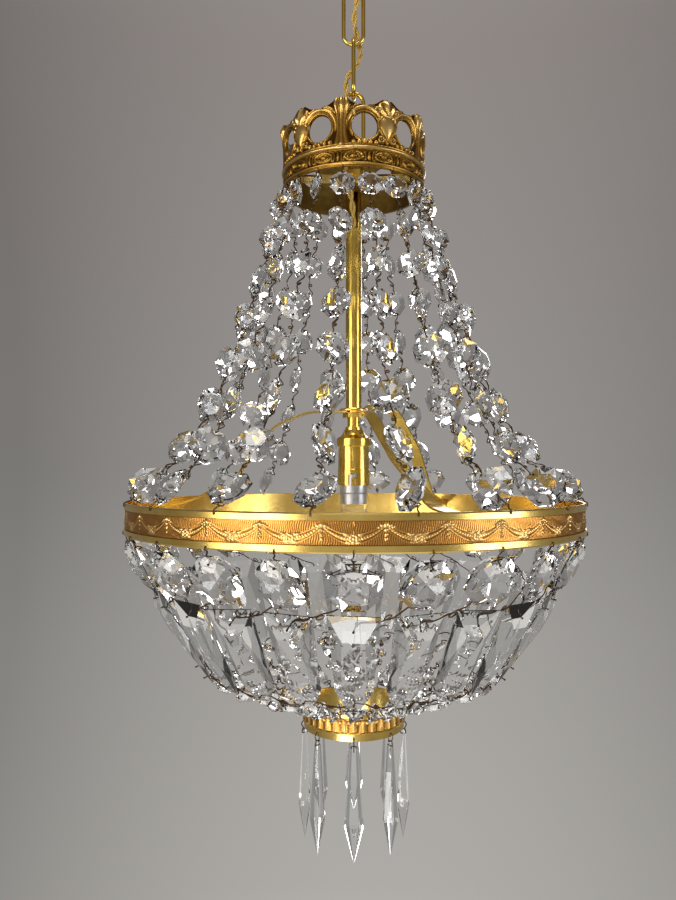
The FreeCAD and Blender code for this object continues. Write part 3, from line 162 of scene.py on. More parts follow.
def metalFinish(
    name, bright, dull, roughness, patchSize, patchSpread, scratch=0.0, grain=None, relief=None
):
    # sheet or cast metal with patches of tarnish patchSize mm across; scratch is the depth of level
    # hair lines, grain the size and depth of a cast skin, and relief lists (height, colour) from
    # dark recesses up to pale crests, all in millimetres; these relief colours are the metal's wear
    # together with painted shade in the recesses and painted highlight on the crests
    material, tree, shader = newMaterial(name)
    place = addNode(tree, "ShaderNodeTexCoord").outputs["Object"]
    patches = addNode(
        tree, "ShaderNodeTexNoise",
        {"Scale": 1 / (patchSize * millimetre), "Detail": 5.0, "Roughness": 0.6}, {"Vector": place},
    ).outputs["Fac"]
    tone = addRamp(tree, patches, [(0.5 - patchSpread / 2, dull), (0.5 + patchSpread / 2, bright)])
    if relief:
        height = addNode(tree, "ShaderNodeAttribute", {"attribute_name": "relief"}).outputs["Fac"]
        crest = relief[-1][0]
        share = addNode(
            tree, "ShaderNodeMapRange", {"From Max": crest}, {"Value": height}
        ).outputs["Result"]
        # painted shade in the recesses and painted highlight on the crests, with the wear
        wearAndPaintedLight = addRamp(tree, share, [(level / crest, colour) for level, colour in relief])
        mix = addNode(
            tree, "ShaderNodeMix",
            {"data_type": "RGBA", "blend_type": "MULTIPLY", 0: 1.0}, {6: wearAndPaintedLight, 7: tone},
        )
        tone = mix.outputs[2]
    tree.links.new(tone, shader.inputs["Base Color"])
    shader.inputs["Metallic"].default_value = 1.0
    rough = addNode(
        tree, "ShaderNodeMapRange", {"To Min": roughness[1], "To Max": roughness[0]}, {"Value": patches}
    ).outputs["Result"]
    tree.links.new(rough, shader.inputs["Roughness"])
    if scratch:
        stretched = addNode(
            tree, "ShaderNodeMapping", {"Scale": (1.0, 1.0, 14.0)}, {"Vector": place}
        ).outputs["Vector"]
        marks = addNode(
            tree, "ShaderNodeTexNoise", {"Scale": 260.0, "Detail": 3.0}, {"Vector": stretched}
        ).outputs["Fac"]
        depth = scratch
    elif grain:
        size, depth = grain
        marks = addNode(
            tree, "ShaderNodeTexVoronoi", {"Scale": 1 / (size * millimetre)}, {"Vector": place}
        ).outputs["Distance"]
    if scratch or grain:
        bump = addNode(
            tree, "ShaderNodeBump", {"Strength": 1.0, "Distance": depth * millimetre}, {"Height": marks}
        )
        tree.links.new(bump.outputs["Normal"], shader.inputs["Normal"])
    return material


# rolled brass under old lacquer: yellow with a green cast, soft gloss
lacqueredBrass = metalFinish(
    "lacqueredBrass", "#e6c462", "#c8a344", (0.14, 0.24), 12.0, 0.6, scratch=0.004
)
# the crown's plain inside: olive brown brass, darker than the face as painted shade for the inside of
# the crown
shadedInsideBrass = metalFinish("shadedInsideBrass", "#a58843", "#6a5426", (0.28, 0.42), 8.0, 0.5)
# the hoop's borders, buffed bright by hand: pale gold with hair lines along the band
polishedBrass = metalFinish(
    "polishedBrass", "#f3d680", "#d9b258", (0.16, 0.28), 14.0, 0.5, scratch=0.01
)
# stamped strip, electro-gilt over copper: orange satin; painted shade darkens the recesses and a
# painted highlight pales the crests
copperGilt = metalFinish(
    "copperGilt", "#ffffff", "#e0d0b4", (0.26, 0.38), 11.0, 0.5, grain=(0.75, 0.06),
    relief=[(0.0, "#6a4016"), (0.1, "#bb8540"), (0.26, "#e2b166"), (0.75, "#ffe0a0")],
)
# cast and stamped coronet, brown in the recesses and pale gold on the crests: brown patina with painted
# shade in the recesses, rubbed gold with painted highlight on the crests
antiqueGilt = metalFinish(
    "antiqueGilt", "#ffffff", "#c9bda8", (0.24, 0.4), 6.0, 0.5, grain=(0.9, 0.05),
    relief=[(0.0, "#523812"), (0.5, "#916c2a"), (1.2, "#c09648"), (2.6, "#f2d186")],
)
# the bottom ring's stamped leaves, gilt and worn pale with a painted highlight on the crests: warm
# gold, hardly darker in the recesses, where it is painted shade
wornGiltPaintedLight = metalFinish(
    "wornGiltPaintedLight", "#ffffff", "#e6d6b8", (0.22, 0.34), 7.0, 0.5, grain=(0.8, 0.08),
    relief=[(0.0, "#96682a"), (0.2, "#d3a04c"), (0.5, "#f0c670"), (0.9, "#ffe7ac")],
)
# drawn bronze pin wire gone dark brown
bronzeWire = metalFinish("bronzeWire", "#6b5338", "#33261a", (0.35, 0.5), 2.0, 0.5)
# spun aluminium bulb cap: cool grey, faint turning marks
bulbAluminium = metalFinish(
    "bulbAluminium", "#d2d3d4", "#a7a8aa", (0.3, 0.42), 5.0, 0.5, scratch=0.02
)


def makeGlass(name, tint, ior):
    material, tree, shader = newMaterial(name)
    shader.inputs["Base Color"].default_value = linearColour(tint)
    shader.inputs["Roughness"].default_value = 0.0
    shader.inputs["IOR"].default_value = ior
    shader.inputs["Transmission Weight"].default_value = 1.0
    return material


# cut and polished lead glass: colourless, high index, hard sparkling facets
leadCrystal = makeGlass("leadCrystal", "#fbfcfd", 1.56)
# thin blown soda glass of the bulb: clear, hardly bends the light
bulbGlass = makeGlass("bulbGlass", "#ffffff", 1.45)


def makePorcelain():
    # glazed white insulator: milky, glossy
    material, tree, shader = newMaterial("porcelain")
    shader.inputs["Base Color"].default_value = linearColour("#ece7dc")
    shader.inputs["Roughness"].default_value = 0.2
    shader.inputs["Coat Weight"].default_value = 0.6
    return material


porcelain = makePorcelain()


silkBraid = {
    "threads": 4,  # round the flex, each way
    "slant": 45,  # degrees
    "waveRate": 20,  # radians of the wave texture in one unit
    "relief": 0.2 * millimetre,
}


def makeSilkFlex():
    # braided artificial silk over rubber: old gold with a soft sheen and a crossed weave
    material, tree, shader = newMaterial("goldSilkFlex")
    around = addNode(tree, "ShaderNodeUVMap", {"uv_map": "braid"}).outputs["UV"]
    slant = math.radians(silkBraid["slant"])
    scale = 2 * math.pi * silkBraid["threads"] / (silkBraid["waveRate"] * math.cos(slant))
    waves = []
    for turn in (slant, -slant):
        turned = addNode(
            tree, "ShaderNodeMapping", {"Rotation": (0, 0, turn)}, {"Vector": around}
        ).outputs["Vector"]
        wave = addNode(
            tree, "ShaderNodeTexWave", {"Scale": scale, "wave_profile": "SIN"}, {"Vector": turned}
        )
        waves.append(wave.outputs["Fac"])
    weave = addNode(
        tree, "ShaderNodeMath", {"operation": "MAXIMUM"}, dict(enumerate(waves))
    ).outputs["Value"]
    # painted shade between the threads of the weave and painted highlight on their crowns
    tone = addRamp(tree, weave, [(0.2, "#6b4d17"), (0.8, "#c39a3d"), (1.0, "#e3c267")])
    tree.links.new(tone, shader.inputs["Base Color"])
    shader.inputs["Roughness"].default_value = 0.45
    shader.inputs["Sheen Weight"].default_value = 0.5
    shader.inputs["Sheen Tint"].default_value = linearColour("#f4dc95")
    bump = addNode(
        tree, "ShaderNodeBump", {"Strength": 1.0, "Distance": silkBraid["relief"]}, {"Height": weave}
    )
    tree.links.new(bump.outputs["Normal"], shader.inputs["Normal"])
    return material


silkFlex = makeSilkFlex()
print("materials made")


# CAD nodes whose shape is right keep it and get their finish

cadFinishes = {
    lacqueredBrass: (
        "ceiling_plate", "ceiling_hook", "canopy_cup", "canopy_collar", "chain_link_1",
        "chain_link_2", "chain_link_3", "top_loop", "rod_tube", "rod_nuts", "crown_bridge",
        "hub_disc", "arm_1", "arm_2", "arm_3", "arm_rivets", "holder_cap", "holder_collar",
        "holder_body",
    ),
    polishedBrass: ("main_hoop", "bottom_ring"),
    porcelain: ("holder_insulator",),
    bulbAluminium: ("bulb_cap",),
    bulbGlass: ("bulb_glass",),
}
for finish, names in cadFinishes.items():
    for nodeName in names:
        dress(nodeName, finish)


# stamped and cast relief, drawn as heights over a wall; all lengths here are in millimetres

edgeTone = 0.6  # the relief height that colours a wall's cut edges and back


def evenOffset(along, start, pitch):
    # signed distance to the nearest of a row of evenly spaced places
    return (along - start + pitch / 2) % pitch - pitch / 2


def ridge(distance, half, height):
    # rounded rib, its half width and its height
    return height * np.clip(1 - (distance / half) ** 2, 0, None)


def dome(across, upward, halfWidth, halfHeight, height):
    # oval boss
    return height * np.clip(1 - (across / halfWidth) ** 2 - (upward / halfHeight) ** 2, 0, None) ** 0.6


def highest(*layers):
    return np.maximum.reduce(layers)


def flatSheet(columns, rows, width, heightAt):
    # heightAt gives the flat sheet's height at each place along it
    bm = bmesh.new()
    bmesh.ops.create_grid(bm, x_segments=columns, y_segments=rows, size=0.5)
    bmesh.ops.translate(bm, vec=(0.5, 0.5, 0), verts=bm.verts[:])
    for vert in bm.verts:
        vert.co.x *= width
        vert.co.y *= heightAt(vert.co.x)
    return bm


def wrapSheet(bm, radius, reliefAt, foot):
    # x runs round and y up a band about Z whose foot is at that height in metres; z is how far a
    # point lies in from the wall's face
    mesh = bpy.data.meshes.new("band")
    bm.to_mesh(mesh)
    bm.free()
    flat = np.empty(len(mesh.vertices) * 3, dtype=np.float32)
    mesh.vertices.foreach_get("co", flat)
    around, upward, inset = flat.reshape(-1, 3).T
    relief = np.where(inset > 0, edgeTone, reliefAt(around, upward))
    reach = radius + np.where(inset > 0, -inset, relief)
    angle = around / radius + frontAngle
    wrapped = np.stack([reach * np.cos(angle), reach * np.sin(angle), upward], axis=1) * millimetre
    mesh.vertices.foreach_set("co", wrapped.astype(np.float32).ravel())
    heights = mesh.attributes.new("relief", "FLOAT", "POINT")
    heights.data.foreach_set("value", relief.astype(np.float32))
    welded = bmesh.new()
    welded.from_mesh(mesh)
    bpy.data.meshes.remove(mesh)
    bmesh.ops.remove_doubles(welded, verts=welded.verts[:], dist=0.01 * millimetre)
    bmesh.ops.recalc_face_normals(welded, faces=welded.faces[:])
    bmesh.ops.translate(welded, vec=(0, 0, foot), verts=welded.verts[:])
    return welded


# the crown: a frieze of ovals between mouldings, bays with rims, and leaves and shields on the uprights

crownForm = {
    "radius": 55.0,
    "wall": 1.6,
    "band": 16.5,  # height of the frieze of ovals
    "height": 49.5,
    "bays": 10,
    "turn": 8.7,  # degrees from the front to the first bay
    "bayRadius": 9.8,
    "bayRise": 30.2,
    "dip": 4.4,  # how far the top edge dips over each bay
    "dipHalf": 12.0,
    "ovals": 15,
    "ovalRise": 7.9,
    "shieldRise": 31.0,
    "shellRise": 41.8,
}
crownGirth = 2 * math.pi * crownForm["radius"]
bayPitch = crownGirth / crownForm["bays"]
bayStart = crownGirth * crownForm["turn"] / 360


def crownTop(around):
    # the top edge: a dip over each bay, leaf tips and scalloped shells between them
    away = evenOffset(around, bayStart, bayPitch) / crownForm["dipHalf"]
    leaf = evenOffset(around, bayStart - bayPitch / 2, bayPitch * 2)
    shell = evenOffset(around, bayStart + bayPitch / 2, bayPitch * 2)
    dip = crownForm["dip"] * max(1 - away * away, 0)
    leafTip = 1.4 * max(1 - (leaf / 6.0) ** 2, 0)
    shellTip = (1.0 + 0.5 * math.cos(shell * 1.7)) * max(1 - (shell / 7.5) ** 2, 0)
    return crownForm["height"] - dip + leafTip + shellTip


def crownBandRelief(around, upward):
    # mouldings, double-ring ovals, and a bud between two curved ticks after each oval
    pitch = crownGirth / crownForm["ovals"]
    rise = upward - crownForm["ovalRise"]
    over = upward - crownForm["band"]
    oval = evenOffset(around, 0, pitch)
    share = np.hypot(oval / 7.0, rise / 3.6)
    bud = evenOffset(around, pitch / 2, pitch)
    near = np.abs(rise) < 3.6
    return highest(
        ridge(upward - 0.6, 0.9, 0.8),
        ridge(upward - 2.4, 1.2, 1.6),
        ridge(over + 4.9, 0.5, 0.5),
        ridge(over + 2.5, 1.8, 2.2),
        ridge(over + 0.1, 0.8, 1.1),
        ridge(share - 0.92, 0.15, 1.2),
        ridge(share - 0.6, 0.13, 0.8),
        dome(oval, rise, 2.6, 1.3, 1.3),
        dome(bud, rise, 1.1, 3.4, 1.2),
        ridge(np.abs(bud) - 2.6 - 0.07 * rise ** 2, 0.6, 0.9) * near,
        ridge(np.abs(bud) - 4.2 - 0.05 * rise ** 2, 0.5, 0.6) * near,
    )


def crownLeafRelief(around, upward):
    # upright acanthus: ribs from foot to brow, and a tip that curls forward
    away = evenOffset(around, bayStart - bayPitch / 2, bayPitch * 2)
    over = upward - crownForm["band"]
    half = np.interp(over, [0, 4, 10, 17, 24, 29, 34], [6.6, 5.4, 4.0, 3.8, 5.2, 6.8, 5.4])
    body = np.interp(over, [0, 5, 17, 23, 28, 31, 34.5], [1.6, 1.2, 1.6, 2.2, 3.8, 3.7, 1.6])
    share = away / half
    ribs = 0.7 + 0.3 * np.cos(share * math.pi * 3)
    return body * np.clip(1 - share ** 2, 0, None) ** 0.5 * ribs * (over > 0)


def crownShieldRelief(around, upward):
    # broad shield that narrows to a stem, with a ribbed shell over it and curls and scrolls beside it
    away = evenOffset(around, bayStart + bayPitch / 2, bayPitch * 2)
    rise = upward - crownForm["shieldRise"]
    crest = upward - crownForm["shellRise"]
    half = np.interp(rise, [-12, -8, -2, 4, 8], [2.0, 3.4, 6.2, 7.2, 6.4])
    share = np.hypot(away / half, np.where(rise > 0, rise / 8.2, rise / 11.0))
    fan = np.arctan2(away, crest + 5.5)
    ribs = 0.66 + 0.34 * np.cos(fan * 9)
    scrolls = np.hypot(np.abs(away) - 4.8, rise + 10.0)
    curls = np.hypot(np.abs(away) - 7.6, crest - 0.6)
    return highest(
        2.8 * np.clip(1 - share ** 2, 0, None) ** 0.5,
        ridge(share - 1.12, 0.14, 1.6),
        dome(away, crest, 8.2, 8.4, 3.8) * ribs * (crest > -4.5),
        ridge(scrolls - 2.0, 0.8, 1.6),
        ridge(scrolls, 0.9, 1.5),
        ridge(curls - 1.7, 0.8, 2.2),
        ridge(curls, 0.7, 1.8),
    )


def crownRelief(around, upward):
    bay = evenOffset(around, bayStart, bayPitch)
    away = np.hypot(bay, upward - crownForm["bayRise"])
    arch = np.clip((upward - crownForm["bayRise"]) / away + 0.3, 0, 1)
    bead = evenOffset(bay, 0, 4.2)
    low = dome(bead, upward - crownForm["band"] - 1.9, 1.8, 1.6, 1.7) * (np.abs(bay) < 11)
    rims = highest(
        ridge(away - 10.7, 1.0, 1.2),
        ridge(away - 13.3, 1.7, 2.2) * arch,
        ridge(away - 16.0, 1.0, 1.0) * arch,
    ) * (upward > crownForm["band"])
    return highest(
        0 * around,
        crownBandRelief(around, upward),
        rims,
        low,
        crownLeafRelief(around, upward),
        crownShieldRelief(around, upward),
    )


def crownSheet(columns, rows):
    # the wall laid flat, with its bays cut out and their edges drawn onto the circle
    bm = flatSheet(columns, rows, crownGirth, crownTop)
    radius = crownForm["bayRadius"]

    def fromBay(point):
        return Vector((evenOffset(point.x, bayStart, bayPitch), point.y - crownForm["bayRise"], 0))

    gone = [face for face in bm.faces if fromBay(face.calc_center_median()).length < radius]
    bmesh.ops.delete(bm, geom=gone, context="FACES")
    for vert in bm.verts:
        way = fromBay(vert.co)
        if vert.is_boundary and way.length < radius * 1.3:
            vert.co += way.normalized() * radius - way
    return bm


def makeCrown():
    # the carved face with its cut edges, and the plain back
    front = crownSheet(720, 96)
    rim = [edge for edge in front.edges if edge.is_boundary]
    turned = bmesh.ops.extrude_edge_only(front, edges=rim)
    for item in turned["geom"]:
        if isinstance(item, bmesh.types.BMVert):
            item.co.z = crownForm["wall"]
    back = crownSheet(240, 32)
    for vert in back.verts:
        vert.co.z = crownForm["wall"]
    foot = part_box("crown")[0].z
    for name, sheet, finish, replaced in (
        ("crownFront", front, antiqueGilt, ["crown"]),
        # the back in the darker brass that paints the shade inside the crown
        ("crownBack", back, shadedInsideBrass, ()),
    ):
        band = wrapSheet(sheet, crownForm["radius"], crownRelief, foot)
        addPiece(name, band, finish, "fixture", replaced, True)


makeCrown()
print("crown made")


# the hoop's frieze: garlands between rosettes with three-bead drops on a finely lined ground

friezeForm = {
    "swags": 30,
    "radius": 173.7,
    "border": 4.5,  # the hoop's plain border above and below
    "lineGap": 1.35,
    "strandGap": 1.6,  # from strand to strand of the garlands' rope
}
friezeHeight = (hoopHigh.z - hoopLow.z) / millimetre - 2 * friezeForm["border"]
friezeGirth = 2 * math.pi * friezeForm["radius"]


def friezeRelief(around, upward):
    pitch = friezeGirth / friezeForm["swags"]
    rise = upward - friezeHeight / 2
    swag = evenOffset(around, 0, pitch)
    share = np.abs(swag) / (pitch / 2)
    rope = rise + 3.2 - 7.6 * share ** 2
    thick = 1.9 - 1.2 * share
    strands = (np.abs(swag) + rope * 0.5) / friezeForm["strandGap"]
    twist = 0.7 + 0.3 * np.cos(2 * math.pi * strands)
    flower = np.hypot(swag, rise + 3.0)
    petals = 0.8 + 0.2 * np.cos(6 * np.arctan2(swag, rise + 3.0))
    knot = evenOffset(around, pitch / 2, pitch)
    wavy = around + 0.35 * np.sin(rise * 0.9 + around * 0.2)
    lines = 0.5 + 0.5 * np.sin(2 * math.pi * wavy / friezeForm["lineGap"])
    beside = np.abs(rope) - thick
    ground = 0.26 * lines * np.clip((beside - 0.1) / 0.5, 0, 1)
    edge = np.clip((friezeHeight / 2 - np.abs(rise)) / 0.4, 0, 1)
    forms = highest(
        ground,
        0.62 * np.clip(1 - (rope / thick) ** 2, 0, None) * twist,
        ridge(beside - 0.9, 0.25, 0.4),
        ridge(flower - 2.0, 0.8, 0.85) * petals,
        ridge(flower, 1.0, 1.0),
        dome(np.abs(swag) - 4.2, rise + 1.9 - 0.3 * np.abs(swag), 2.0, 0.9, 0.8),
        dome(np.abs(swag) - 3.0, rise + 5.0, 1.8, 0.8, 0.6),
        dome(knot, rise - 4.7, 1.5, 1.5, 1.1),
        dome(np.abs(knot) - 2.3, rise - 4.3, 1.1, 0.9, 0.8),
        dome(np.abs(knot) - 4.0, rise - 3.4, 1.0, 0.8, 0.7),
        dome(knot, rise - 1.9, 1.0, 1.1, 0.9),
        dome(knot, rise + 0.7, 0.9, 1.0, 0.8),
        dome(knot, rise + 3.2, 0.8, 0.9, 0.7),
    )
    return forms * edge


def makeFrieze():
    sheet = flatSheet(2400, 34, friezeGirth, lambda around: friezeHeight)
    foot = hoopLow.z + friezeForm["border"] * millimetre
    band = wrapSheet(sheet, friezeForm["radius"], friezeRelief, foot)
    addPiece("friezeStrip", band, copperGilt, "fixture", ["main_frieze"], True)


makeFrieze()
print("frieze made")


# the bottom ring's leaf band lies between the CAD ring's two mouldings

leafBand = {"leaves": 36, "radius": 39.05, "low": 6.6, "high": 15.4}
leafBandTall = leafBand["high"] - leafBand["low"]
leafBandGirth = 2 * math.pi * leafBand["radius"]


def leafRelief(around, upward):
    # broad leaves side by side, each with a midrib and veins, and a bead between their tips
    pitch = leafBandGirth / leafBand["leaves"]
    away = evenOffset(around, 0, pitch)
    half = pitch * 0.5 * np.clip(1 - (upward / leafBandTall) ** 2.0, 0, 1) ** 0.5
    share = away / np.maximum(half, 0.1)
    veins = 0.6 + 0.4 * np.cos((upward * 1.1 - np.abs(away) * 1.8) * 3.2)
    gap = evenOffset(around, pitch / 2, pitch)
    return highest(
        0 * around,
        0.75 * np.clip(1 - share ** 2, 0, None) * veins,
        ridge(away, 0.5, 0.95) * (upward < leafBandTall * 0.85),
        dome(gap, upward - leafBandTall * 0.78, 1.5, 1.4, 0.9),
    )


def makeLeafBand():
    sheet = flatSheet(720, 26, leafBandGirth, lambda around: leafBandTall)
    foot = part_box("bottom_ring")[0].z + leafBand["low"] * millimetre
    band = wrapSheet(sheet, leafBand["radius"], leafRelief, foot)
    addPiece("bottomLeafBand", band, wornGiltPaintedLight, "fixture", (), True)


makeLeafBand()
print("bottom ring's leaves made")


# twisted pair of silk flex along the CAD flex's own points, in stretches across each joint

flexForm = {
    "strand": 1.25,  # radius of each conductor
    "pitch": 22.0,
    "sides": 8,
    "step": 0.9,
    "loopStem": 8.0,  # how far the loop's stem goes down into the rod
}
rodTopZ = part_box("top_loop")[0].z / millimetre + flexForm["loopStem"]
# heights are over the rod's top, in millimetres
flexRoute = [
    (10.0, 0.0, -rodTopZ), (10.0, 0.2, 197.8), (5.9, 0.0, 184.8), (5.9, -0.4, 168.8),
    (5.4, -5.6, 152.8), (5.0, -5.8, 140.8), (0.4, -2.6, 127.8), (0.8, 3.0, 117.8),
    (4.6, 7.0, 109.3), (6.2, 5.8, 98.8), (3.8, 1.4, 87.8), (-3.8, -1.4, 77.8),
    (-6.0, -6.0, 66.8), (-5.4, -6.6, 52.8), (-4.2, -5.6, 39.8), (-4.4, -6.0, 27.8),
    (-6.6, -8.8, 14.8), (-6.8, -12.2, -0.2), (-4.6, -13.0, -14.2), (-0.8, -8.6, -28.2),
    (0.3, -0.6, -47.2), (0.0, 0.0, -72.2), (0.2, 0.0, -132.2), (0.0, 0.0, -212.0),
]
# the bodies above and below, and the heights in metres that bound each joint
flexStretches = [
    ("flexAtCeiling", "ceiling", "link_1", -0.046, -0.0856),
    ("flexAtLinkOne", "link_1", "link_2", -0.088, -0.1287),
    ("flexAtLinkTwo", "link_2", "link_3", -0.131, -0.172),
    ("flexAtRod", "link_3", "fixture", -0.174, -0.213),
]


def smoothRoute(points, step):
    # the curve that touches each run of the route at its middle, cut into even steps
    points = [Vector(point) for point in points]
    middles = [(here + there) / 2 for here, there in zip(points, points[1:])]
    line = [points[0]]
    for corner, before, after in zip(points[1:-1], middles, middles[1:]):
        count = max(2, round((after - before).length / step))
        for index in range(count):
            share = index / count
            line.append(before.lerp(corner, share).lerp(corner.lerp(after, share), share))
    return line + [middles[-1], points[-1]]


def twistedTubes(line, form):
    # two round tubes that wind about the line; the braid map runs round and along each
    girth = 2 * math.pi * form["strand"]
    bm = bmesh.new()
    braid = bm.loops.layers.uv.new("braid")
    side = Vector((1, 0, 0))
    walked = 0.0
    frames = []
    for index, point in enumerate(line):
        before, after = line[max(index - 1, 0)], line[min(index + 1, len(line) - 1)]
        way = (after - before).normalized()
        side = (side - way * side.dot(way)).normalized()
        walked += (point - before).length
        frames.append((point, side, way.cross(side), walked))
    for half in (0, math.pi):
        rings = []
        for point, first, second, length in frames:
            turn = length / form["pitch"] * 2 * math.pi + half
            centre = point + (first * math.cos(turn) + second * math.sin(turn)) * form["strand"]
            ring = []
            for corner in range(form["sides"]):
                angle = corner / form["sides"] * 2 * math.pi + turn
                offset = (first * math.cos(angle) + second * math.sin(angle)) * form["strand"]
                ring.append(bm.verts.new((centre + offset) * millimetre))
            rings.append((ring, length))
        for (upper, above), (lower, below) in zip(rings, rings[1:]):
            for corner in range(form["sides"]):
                after = (corner + 1) % form["sides"]
                face = bm.faces.new((upper[corner], upper[after], lower[after], lower[corner]))
                spots = ((corner, above), (corner + 1, above), (corner + 1, below), (corner, below))
                for loop, (around, length) in zip(face.loops, spots):
                    loop[braid].uv = (around / form["sides"], length / girth)
    return bm


def makeFlex():
    route = [(x, y, z + rodTopZ) for x, y, z in flexRoute]
    whole = twistedTubes(smoothRoute(route, flexForm["step"]), flexForm)
    replaced = ["ceiling_flex", "chain_flex_1", "chain_flex_2", "rod_flex"]
    top = math.inf
    for name, above, below, start, end in flexStretches:
        low = -math.inf if name == "flexAtRod" else end
        stretch = whole.copy()
        gone = [face for face in stretch.faces if not low < face.calc_center_median().z <= top]
        bmesh.ops.delete(stretch, geom=gone, context="FACES")
        piece = addPiece(name, stretch, silkFlex, None, replaced, True)
        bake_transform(piece)
        replaced = []
        top = low
    whole.free()


makeFlex()
print("flex made")


# where the CAD hangs each crystal

def solidsOf(nodeName):
    # the corner points of each solid of a CAD node
    bm = bmesh.new()
    bm.from_mesh(cadNodes[nodeName].data)
    bmesh.ops.remove_doubles(bm, verts=bm.verts, dist=0.02 * millimetre)
    waiting = set(bm.verts)
    solids = []
    while waiting:
        frontier = [waiting.pop()]
        found = list(frontier)
        while frontier:
            for edge in frontier.pop().link_edges:
                for vert in edge.verts:
                    if vert in waiting:
                        waiting.discard(vert)
                        frontier.append(vert)
                        found.append(vert)
        solids.append([vert.co.copy() for vert in found])
    bm.free()
    return solids


def meanPoint(points):
    return sum(points, Vector()) / len(points)


def azimuthOf(point):
    return math.degrees(math.atan2(point.y, point.x))


def crystalFrame(origin, facing):
    # X faces out of the crystal; Z runs up its string, in the upright plane through the axis
    outward = Vector((origin.x, origin.y, 0)).normalized()
    if facing.dot(outward) < 0:
        facing = -facing
    up = facing.cross(outward.cross(Vector((0, 0, 1)))).normalized()
    if up.z < 0:
        up = -up
    turn = Matrix((facing, up.cross(facing), up)).transposed().to_4x4()
    return Matrix.Translation(origin) @ turn


def octagonFrame(points):
    # the place and width of an eight-sided crystal, from its widest ring
    middle = meanPoint(points)
    girdle = sorted(points, key=lambda point: (point - middle).length)[-8:]
    centre = meanPoint(girdle)
    start = girdle[0] - centre
    aside = max(girdle, key=lambda point: start.cross(point - centre).length) - centre
    place = crystalFrame(centre, start.cross(aside).normalized())
    heights = [place.col[2].xyz.dot(point - centre) for point in girdle]
    return place, max(heights) - min(heights)


def plaqueFrame(points):
    # the place of a plaque's top edge and its length
    byHeight = sorted(points, key=lambda point: point.z)
    along = (meanPoint(byHeight[-6:]) - meanPoint(byHeight[:6])).normalized()
    byReach = sorted(points, key=along.dot)
    top = meanPoint(byReach[-2:])
    low = meanPoint(byReach[:2])
    facing = (byReach[-1] - byReach[-2]).cross(low - top).normalized()
    return crystalFrame(top, facing), (top - low).length


def crystalHull(rings, points):
    # flat facets over rings of corners and single points; a ring is (corners, radius, forward, turn)
    bm = bmesh.new()
    for corners, radius, forward, turn in rings:
        place = Matrix.Translation((forward, 0, 0)) @ Matrix.Rotation(math.radians(90), 4, "Y")
        place = place @ Matrix.Rotation(math.radians(turn), 4, "Z")
        bmesh.ops.create_circle(bm, segments=corners, radius=radius, matrix=place)
    for point in points:
        bmesh.ops.create_vert(bm, co=point)
    bmesh.ops.delete(bm, geom=bm.edges[:], context="EDGES_FACES")
    made = bmesh.ops.convex_hull(bm, input=bm.verts[:])
    inside = [item for item in made["geom_interior"] if isinstance(item, bmesh.types.BMVert)]
    bmesh.ops.delete(bm, geom=inside, context="VERTS")
    flat = math.radians(1.0)
    bmesh.ops.dissolve_limit(bm, angle_limit=flat, verts=bm.verts[:], edges=bm.edges[:])
    bmesh.ops.recalc_face_normals(bm, faces=bm.faces[:])
    return bm


octagonCut = {
    "table": 0.52,  # the flat front as a share of the width
    "girdle": 0.06,  # thickness of the edge as a share of the whole thickness
    "star": 0.5,  # ring on the back where kites and triangles meet
    "thickness": 0.42,  # a strand bead's thickness as a share of its width
}


def octagonCrystal(width, thickness):
    # eight trapezoids round a table in front; kites and triangles down to a point at the back
    corner = width / 2 / math.cos(math.pi / 8)
    half = thickness / 2
    edge = thickness * octagonCut["girdle"]
    star = corner * octagonCut["star"]
    back = -half + (half - edge) * (star * math.cos(math.pi / 8) / corner)
    rings = [
        (8, corner * octagonCut["table"], half, 22.5),
        (8, corner, edge, 22.5),
        (8, corner, -edge, 22.5),
        (8, star, back, 0.0),
    ]
    return crystalHull(rings, [(-half, 0, 0)])


def joinShapes(shapes):
    # one mesh from (bmesh, matrix) pairs
    whole = bmesh.new()
    for shape, place in shapes:
        mesh = bpy.data.meshes.new("copy")
        shape.to_mesh(mesh)
        mesh.transform(place)
        whole.from_mesh(mesh)
        bpy.data.meshes.remove(mesh)
    return whole


# wires between the crystals

pinWire = {
    "radius": 0.5 * millimetre,
    "hole": 0.39,  # how far the hole lies from the middle, as a share of the width
    "behind": 1.0 * millimetre,  # from the glass to the wire behind it
    "eye": 2.1 * millimetre,  # half the width of the twisted eye between two crystals
    "head": 0.95 * millimetre,  # radius of the flattened end in front of each hole
    "hookInset": 1.3 * millimetre,  # from the metal's outer face in to the hook's rest
    "hookDrop": 1.4 * millimetre,  # how far the hook reaches over that face
    "hookEnd": 2.2 * millimetre,
}
wireLines = {"strand": [], "basket": []}
wireHeads = {"strand": [], "basket": []}


def holeAt(place, rise, reach):
    # middle of a hole, the way it is drilled, and half the glass there
    return place @ Vector((0, 0, rise)), place.col[0].xyz, reach


def octagonHoles(place, width, thickness):
    # the top one and the low one
    share = pinWire["hole"]
    reach = thickness / 2 * (1 - share)
    return [holeAt(place, way * width * share, reach) for way in (1, -1)]


